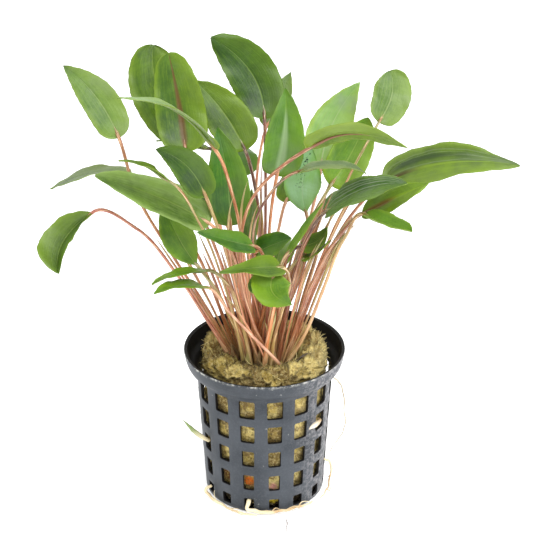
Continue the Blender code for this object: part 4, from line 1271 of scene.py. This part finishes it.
def make_wool_tint():
    tree, given, result = new_group("wool_tint", (("Where", "v"), ("Stand", "f"), ("Tone", "f")),
                                    (("Colour", "c"),))
    large = cloud(tree, given["Where"], 120, 3, 0.6)
    patch = cloud(tree, given["Where"], 330, 4, 0.65)
    fine = cloud(tree, given["Where"], 1300, 4, 0.7)
    at = split(tree, given["Where"])
    tone = calc(tree, "MULTIPLY_ADD", large, 0.9, calc(tree, "ADD", given["Tone"], -0.45))
    colour = blend(tree, fade(tree, tone, -0.25, 0.12), paint(0.29, 0.20, 0.072), paint(0.52, 0.385, 0.10))
    colour = blend(tree, fade(tree, tone, 0.02, 0.35), colour, paint(0.78, 0.63, 0.24))
    for field, none, full, strength, new in (
            (patch, 0.50, 0.64, 0.6, (0.66, 0.54, 0.22)), (patch, 0.46, 0.36, 0.6, (0.16, 0.115, 0.045)),
            (fine, 0.52, 0.66, 0.6, (0.86, 0.74, 0.38)), (fine, 0.47, 0.36, 0.6, (0.115, 0.080, 0.030)),
            # painted shade: darker in the creases, where the surface stands low
            (given["Stand"], 0.1, -0.7, 0.85, (0.050, 0.036, 0.016)),
            # painted light: paler towards the right side
            (at["X"], 4 * MM, 20 * MM, 0.3, (0.88, 0.74, 0.34)),
            (at["Z"], 9 * MM, 6 * MM, 0.93, (0.016, 0.011, 0.009))):
        colour = tint(tree, colour, fade(tree, field, none, full), strength, paint(*new))
    for centre, size, new in SHOWING_THROUGH:
        near = spot(tree, given["Where"], centre, size)
        colour = tint(tree, colour, near, fade(tree, fine, 0.36, 0.5), paint(*new))
    tree.links.new(colour, result.inputs["Colour"])
    return tree


WOOL_TINT = make_wool_tint()
wool_look, wool_tree, wool_shader = new_look("mineral_wool")
wool_where, wool_marks = in_object(wool_tree), split(wool_tree, on_skin(wool_tree))
wool_inputs = {"Where": wool_where, "Stand": wool_marks["X"], "Tone": wool_marks["Y"]}
wool_colour = add(wool_tree, "ShaderNodeGroup", wool_inputs, node_tree=WOOL_TINT).outputs["Colour"]
wool_fine = cloud(wool_tree, wool_where, 1500, 5, 0.75)
wool_rough = calc(wool_tree, "MULTIPLY_ADD", wool_fine, 0.2, 0.8)
dress(wool_tree, wool_shader, wool_colour, wool_rough, wool_fine, 0.5)
wool_shader.inputs["Specular IOR Level"].default_value = 0.15
wool = piece("wool_plug", wool_bm, (wool_look,), "mineral_wool", "mineral_wool")
print("plug", [round(v * 1000, 1) for v in wool.dimensions], "mm")

# %% [markdown]
# ### Loose fibres
#
# A torn plug bristles. Thousands of short curved fibres lie on its top and stand in the windows. Each
# is a thin bevelled curve of a few points, and all of them together are turned into one mesh.

# %% Fibres
def fibre_curve(name, lines, radii):
    """One curve object of many thin open lines, each in millimetres with its own radius."""
    curve = bpy.data.curves.new(name, "CURVE")
    curve.dimensions = "3D"
    curve.bevel_depth = MM
    curve.bevel_resolution = 0
    curve.use_fill_caps = True
    for line, radius in zip(lines, radii):
        spline = curve.splines.new("POLY")
        spline.points.add(len(line) - 1)
        for k, point in enumerate(line):
            spline.points[k].co = (*(Vector(point) * MM), 1)
            spline.points[k].radius = radius * (1 - 0.6 * k / (len(line) - 1))
    made = bpy.data.objects.new(name, curve)
    bpy.context.scene.collection.objects.link(made)
    bpy.context.view_layer.update()
    mesh = bpy.data.meshes.new_from_object(made.evaluated_get(bpy.context.evaluated_depsgraph_get()))
    bpy.data.objects.remove(made)
    bm = bmesh.new()
    bm.from_mesh(mesh)
    bmesh.ops.remove_doubles(bm, verts=bm.verts, dist=MERGE)
    return bm


def fibre_lines(count, low_row, high_row, longest, thick, chance):
    """Curling lines that start on clumps between two rows of the plug, and their radii."""
    lines, radii = [], []
    while len(lines) < count:
        turn, row = chance.uniform(0, 360), chance.uniform(low_row, high_row)
        start, way, stand, _ = wool_point(turn, row)
        if stand < chance.uniform(-0.5, 0.5):
            continue
        side = way.orthogonal().normalized()
        side = side * math.cos(turn) + way.cross(side) * math.sin(turn * 1.7)
        go = (side.normalized() + way * chance.uniform(0.0, 0.55)).normalized()
        curl = Vector((chance.uniform(-1, 1), chance.uniform(-1, 1), chance.uniform(-0.8, 0.8))) * 0.45
        length = chance.uniform(0.8, longest)
        line = [start - way * 0.25]
        for _ in range(4):
            go = (go + curl - way * 0.12).normalized()
            line.append(line[-1] + go * length / 4)
        lines.append(line)
        radii.append(chance.uniform(0.5, 1) * thick)
    return lines, radii


def inside_pot(point):
    wall = wall_radius(min(point.z, NECK_Z)) - WALL
    return 0.5 < point.z and (point.xy.length < wall - 0.15 or point.z > 47 and point.xy.length < 23)


# how many, between which rows, how long at most and how thick: on top, long strands, and at the side
FIBRES = ((2400, 2.2, 7.0, 2.6, 0.1), (260, 2.2, 6.0, 5.5, 0.2), (1800, 7.0, 11.0, 2.6, 0.1))
chance = random.Random(7)
kept = []
for kind in FIBRES:
    for line, radius in zip(*fibre_lines(*kind, chance)):
        if all(inside_pot(point) for point in line):
            kept.append((line, radius))
fibres_bm = fibre_curve("fibres", *zip(*kept))
print(len(kept), "fibres,", len(fibres_bm.faces), "faces")

# %% Material of the fibres
fibre_look, fibre_tree, fibre_shader = new_look("wool_fibre")
fibre_where = in_object(fibre_tree)
fibre_inputs = {"Where": fibre_where, "Stand": 0.6}
fibre_colour = add(fibre_tree, "ShaderNodeGroup", fibre_inputs, node_tree=WOOL_TINT).outputs["Colour"]
fibre_mix = cloud(fibre_tree, fibre_where, 420, 2)
fibre_share = fade(fibre_tree, fibre_mix, 0.45, 0.6)
fibre_colour = tint(fibre_tree, fibre_colour, fibre_share, 0.6, paint(0.92, 0.80, 0.40))
fibre_tree.links.new(fibre_colour, fibre_shader.inputs["Base Color"])
fibre_tree.links.new(calc(fibre_tree, "MULTIPLY_ADD", fibre_mix, 0.2, 0.5), fibre_shader.inputs["Roughness"])
fibres = piece("wool_fibres", fibres_bm, (fibre_look,), "mineral_wool")
print("fibres cover", [round(v * 1000, 1) for v in fibres.dimensions], "mm")

# %% [markdown]
# ## The crown
#
# The crown is the short stem where all stalks begin, dark and scaly, wrapped in the dry sheaths of old
# leaves. A low mound carries a ring of pointed, curling sheaths, which are flattened tubes that end in
# a point.

# %% Crown and dry sheaths
# half length, half depth, height of its top and thickness in millimetres
CROWN_SIZE = (12.6, 9.8, 49.2, 3.4)
# side line of the mound in shares of these: how far out, and how high above the top
CROWN_LINE = ((0.0, 0.15), (0.5, 0.1), (0.8, -0.1), (0.95, -0.45), (1.0, -0.9), (0.95, -1.0), (0.6, -1.0),
              (0.0, -1.0))
CROWN_ROWS, CROWN_TURNS = 34, 90
SHEATH_COUNT, SHEATH_SIDES = 34, 10


def crown_skin(bm):
    length, depth, top, thick = CROWN_SIZE
    profile = flowing(np.linspace(0, 1, len(CROWN_LINE)), CROWN_LINE, np.linspace(0, 1, CROWN_ROWS))
    points = np.empty((CROWN_ROWS, CROWN_TURNS, 3))
    marks = np.zeros_like(points)
    for r, (out, down) in enumerate(profile):
        for c in range(CROWN_TURNS):
            x, y, _ = around(max(out, 0), c * 360 / CROWN_TURNS, 0)
            point = Vector((x * length, y * depth, top + down * thick))
            rough = noise.fractal(point * 0.9, 0.9, 2.1, 4)
            points[r, c] = point + Vector((x, y, 1 if down > -0.9 else 0)) * rough * 0.7
            marks[r, c] = (rough, 0, 0)
    points[0], points[-1] = points[0].mean(axis=0), points[-1].mean(axis=0)
    rolled(bm, points, marks, slot=0)


def sheath(bm, turn, far, tall, lean, wide, slot):
    """A dry sheath: a flattened tube that rises from the crown's edge and ends in a point."""
    length, depth, top, _ = CROWN_SIZE
    x, y, _ = around(far, turn, 0)
    foot = Vector((x * length, y * depth, top - 1.5))
    out = Vector((x, y, 0)).normalized()
    across = Vector((-out.y, out.x, 0))
    points = [foot, foot + Vector((0, 0, tall * 0.35)) + out * lean * 0.2,
              foot + Vector((0, 0, tall * 0.7)) + out * lean * 0.55 + across * lean * 0.2,
              foot + Vector((0, 0, tall)) + out * lean + across * lean * 0.5]
    line, share = path(points, 16)
    radii = wide * (1 - share ** 2.5) + 0.04
    rings, marks = tube_rings(line, radii, SHEATH_SIDES, flat=np.full(len(line), 0.35))
    rolled(bm, rings, marks, slot=slot)


crown_bm = bmesh.new()
crown_skin(crown_bm)
chance = random.Random(11)
for number in range(SHEATH_COUNT):
    turn = number * 360 / SHEATH_COUNT + chance.uniform(-4, 4)
    sheath(crown_bm, turn, chance.uniform(0.72, 0.98), chance.uniform(4, 13), chance.uniform(-0.5, 2.2),
           chance.uniform(0.5, 1.15), 1 if chance.random() < 0.6 else 2)
print("crown", len(crown_bm.faces), "faces")

# %% Materials of the crown
crown_look, crown_tree, crown_shader = new_look("crown_scale")
crown_cloud = cloud(crown_tree, in_object(crown_tree), 500, 5, 0.7)
crown_colour = blend(crown_tree, fade(crown_tree, crown_cloud, 0.4, 0.65), paint(0.022, 0.013, 0.010),
                     paint(0.13, 0.075, 0.032))
dress(crown_tree, crown_shader, crown_colour, calc(crown_tree, "MULTIPLY_ADD", crown_cloud, 0.3, 0.55),
      crown_cloud, 0.4)


def sheath_look(name, pale, dark):
    look, tree, shader = new_look(name)
    place = on_skin(tree)
    streak = cloud(tree, scaled(tree, place, (3.0, 3.0, 0.8)), 2.4, 5, 0.65)
    colour = blend(tree, fade(tree, streak, 0.38, 0.62), paint(*dark), paint(*pale))
    foot = calc(tree, "SUBTRACT", 1.0, fade(tree, split(tree, place)["Z"], 0.05, 0.4))
    colour = tint(tree, colour, foot, 0.8, paint(0.05, 0.028, 0.014))
    dress(tree, shader, colour, calc(tree, "MULTIPLY_ADD", streak, 0.3, 0.5), streak, 0.15)
    return look


SHEATHS = (sheath_look("dry_sheath_olive", (0.60, 0.52, 0.20), (0.26, 0.22, 0.06)),
           sheath_look("dry_sheath_brown", (0.56, 0.40, 0.20), (0.20, 0.11, 0.045)))
crown = piece("crown_and_sheaths", crown_bm, (crown_look, *SHEATHS), "crown", "crown")
print("crown", [round(v * 1000, 1) for v in crown.dimensions], "mm")

# %% [markdown]
# ## Roots
#
# Pale roots have grown out through the windows. They hug the foot of the pot, one hangs in a fine
# greyish loop at the side, and a dry brown thread lies in front. Real roots wander and change in
# thickness, so each smooth line is shaken a little and carries thinner side roots.

# %% Root lines
# the radius of each root and the points that it runs through, in millimetres
ROOTS = {
    "root_front": (0.75, ((-5, -18.0, 4.4), (-5.6, -20.8, 4.8), (-6.0, -22.0, 3.2), (-3.4, -21.6, 1.9),
                          (2, -21.8, 1.6), (8, -20.4, 1.6), (13, -17.7, 1.3), (16.6, -14.4, 0.9))),
    "root_left": (0.6, ((-18.4, -10.6, 5.0), (-20.4, -11.4, 4.4), (-19.6, -11.2, 2.0), (-16.2, -14.2, 0.8),
                        (-12.0, -18.2, 0.7), (-6.6, -21.4, 0.7), (-2.6, -22.6, 0.7))),
    "root_right": (0.45, ((20.6, -4.2, 12.0), (22.6, -4.4, 11.0), (22.9, -4.8, 6.0), (21.9, -6.6, 1.4),
                          (20.4, -9.6, 0.8), (19.4, -11.6, 0.8))),
    "root_loop": (0.35, ((21.6, 5.0, 41.0), (25.4, 5.2, 38.0), (28.0, 4.6, 27.0), (27.6, 3.6, 19.0),
                         (24.4, 2.0, 14.0), (22.4, -1.0, 11.6))),
    "root_thread": (0.4, ((7.6, -24.8, 0.5), (7.8, -27.4, 0.5), (7.5, -30.2, 0.5), (7.6, -33.0, 0.5))),
}


def shaken(line, amount, scale):
    """A line moved about by a smooth noise, less at its ends."""
    ends = np.minimum(1, 6 * np.minimum(np.linspace(0, 1, len(line)), np.linspace(1, 0, len(line))))
    moved = [np.array(noise.noise_vector(Vector(p) * scale)) for p in line]
    return line + np.array(moved) * amount * ends[:, None]


def root_skin(bm, points, radius, rows=70, end=0.4, amount=0.5):
    """Adds a root, which thins to a share of its radius at its end, and gives its line."""
    line, share = path(points, rows)
    line = shaken(line, amount, 0.35)
    swell = np.array([1 + 0.25 * noise.noise(Vector(p) * 0.7) for p in line])
    radii = radius * swell * (1 - (1 - end) * share)
    line[:, 2] = np.maximum(line[:, 2], radii)
    rings, marks = tube_rings(line, radii, 10)
    rolled(bm, rings, marks)
    return line


def side_root(bm, line, at, reach, radius, chance):
    """Adds a thin root that leaves another at a share of its length."""
    start = line[int(at * (len(line) - 1))]
    aim = start + np.array(reach)
    middle = (start + aim) / 2 + np.array([chance.uniform(-1, 1) for _ in range(3)])
    root_skin(bm, (start, middle, aim), radius, rows=18, end=0.3, amount=0.4)


print(len(ROOTS), "roots")

# %% Root material
def root_material(name, pale, brown, bright):
    look, tree, shader = new_look(name)
    where = in_object(tree)
    large, small = cloud(tree, where, 110, 3), cloud(tree, where, 900, 4, 0.65)
    colour = blend(tree, fade(tree, large, 0.42, 0.64), paint(*pale), paint(*brown))
    colour = tint(tree, colour, fade(tree, small, 0.55, 0.75), 0.5, paint(*bright))
    # painted shade: the root darkens towards its edges, where it turns from the eye
    colour = painted_edge_shade(tree, colour, 0.45, 0.95, 0.55, paint(0.24, 0.13, 0.055))
    dress(tree, shader, colour, calc(tree, "MULTIPLY_ADD", small, 0.25, 0.35), small, 0.12)
    return look


PALE_ROOT = root_material("root", (0.84, 0.72, 0.46), (0.50, 0.32, 0.15), (0.94, 0.88, 0.70))
ROOT_LOOKS = {
    "root_loop": root_material("root_pale", (0.64, 0.57, 0.45), (0.46, 0.37, 0.26), (0.82, 0.77, 0.66)),
    "root_thread": root_material("root_dry", (0.10, 0.06, 0.04), (0.05, 0.03, 0.02), (0.16, 0.11, 0.08)),
}
print(len(ROOT_LOOKS) + 1, "root colours")

# %% Grow the roots
# the dry thread is thinner than its solid, as a share of the radius, and hardly wanders
DRY_THIN, DRY_SHAKE = 0.45, 0.1
# side roots: where they start as a share of the root's length, how far they reach, and their radius
SIDE_ROOTS = {
    "root_front": ((0.45, (3, 1.6, 0.2), 0.28), (0.62, (5, 1.2, -0.1), 0.3), (0.8, (4, 1.5, 1.0), 0.25),
                   (0.3, (2, -1.4, -0.2), 0.22)),
    "root_left": ((0.5, (5, -2.6, 0.4), 0.25), (0.7, (4, -1, 0.2), 0.2), (0.35, (-0.6, 1.6, 3.4), 0.2)),
    "root_right": ((0.45, (0.6, 2.4, -1.5), 0.2), (0.7, (1.2, 1.6, 0.6), 0.22),
                   (0.3, (0.8, 1.8, 2.0), 0.16)),
    "root_loop": ((0.55, (0.4, -2.4, -3.0), 0.14), (0.3, (-0.6, 1.6, -2.4), 0.13)),
}
chance = random.Random(5)
for name, (radius, points) in ROOTS.items():
    bm = bmesh.new()
    if name == "root_thread":
        root_skin(bm, points, radius * DRY_THIN, amount=DRY_SHAKE)
    else:
        line = root_skin(bm, points, radius)
        for at, reach, thin in SIDE_ROOTS[name]:
            side_root(bm, line, at, reach, thin, chance)
    piece("grown_" + name, bm, (ROOT_LOOKS.get(name, PALE_ROOT),), "root", name)
print("roots grown")

# %% [markdown]
# ## Sprout, bud and straw
#
# A young shoot has pushed out through a window on the left: white at its foot and green at its tip. On
# the right a small white bud stands out of another, and a dark straw lies on the wool.

# %% Small pieces
SPROUT = ((-19.0, -9.1, 22.4), (-22.1, -10.6, 25.4), (-27.8, -13.3, 33.4))
BUD = ((17.9, -12.0, 33.2), (18.9, -14.3, 34.0), (15.2, -18.9, 33.2))
STRAW = ((9.0, -10.6, 52.6), (11.8, -10.0, 55.4), (14.6, -9.0, 57.0))


def small_piece(name, points, widths, look, node, flat=1.0, amount=0.2):
    """A short tube through a few points, with its radii in millimetres along it."""
    bm = bmesh.new()
    line, share = path(points, 40)
    line = shaken(line, amount, 0.5)
    radii = flowing(np.linspace(0, 1, len(widths)), widths, share)
    rings, marks = tube_rings(line, radii, 16, flat=np.full(len(line), flat))
    rolled(bm, rings, marks)
    return piece(name, bm, (look,), node, node)


def shoot_look(name, foot, tip, change):
    look, tree, shader = new_look(name)
    place = on_skin(tree)
    streak = cloud(tree, scaled(tree, place, (2.5, 2.5, 1.2)), 2.2, 4, 0.6)
    rise = fade(tree, calc(tree, "MULTIPLY_ADD", streak, 0.25, split(tree, place)["Z"]), *change)
    colour = blend(tree, rise, paint(*foot), paint(*tip))
    colour = tint(tree, colour, fade(tree, streak, 0.55, 0.7), 0.35, paint(0.85, 0.80, 0.62))
    dress(tree, shader, colour, calc(tree, "MULTIPLY_ADD", streak, 0.2, 0.32), streak, 0.08)
    return look


small_piece("grown_sprout", SPROUT, (0.75, 1.0, 0.95, 0.55, 0.08),
            shoot_look("sprout", (0.74, 0.64, 0.40), (0.17, 0.25, 0.06), (0.3, 0.85)), "sprout", flat=0.6)
small_piece("grown_bud", BUD, (0.3, 0.35, 0.45, 0.8, 0.75, 0.2),
            shoot_look("bud", (0.42, 0.28, 0.13), (0.84, 0.74, 0.58), (0.5, 0.95)), "bud")
small_piece("grown_straw", STRAW, (0.35, 0.5, 0.38, 0.45, 0.2),
            shoot_look("straw", (0.012, 0.008, 0.006), (0.06, 0.04, 0.02), (0.3, 1.1)), "straw", amount=0.5)
print("small pieces done")

# %% [markdown]
# ## Size of the finished plant
#
# The finer pieces must not make the plant bigger than its solids. Both boxes are written down side by
# side, so that they can be compared.

# %% Sizes, then finish
DRESSED_BOX = [list(corner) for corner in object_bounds()]
for label, (low, high) in (("solids", SOLID_BOX), ("dressed", DRESSED_BOX)):
    print(label, [round((h - l) * 1000, 1) for l, h in zip(low, high)], "mm")
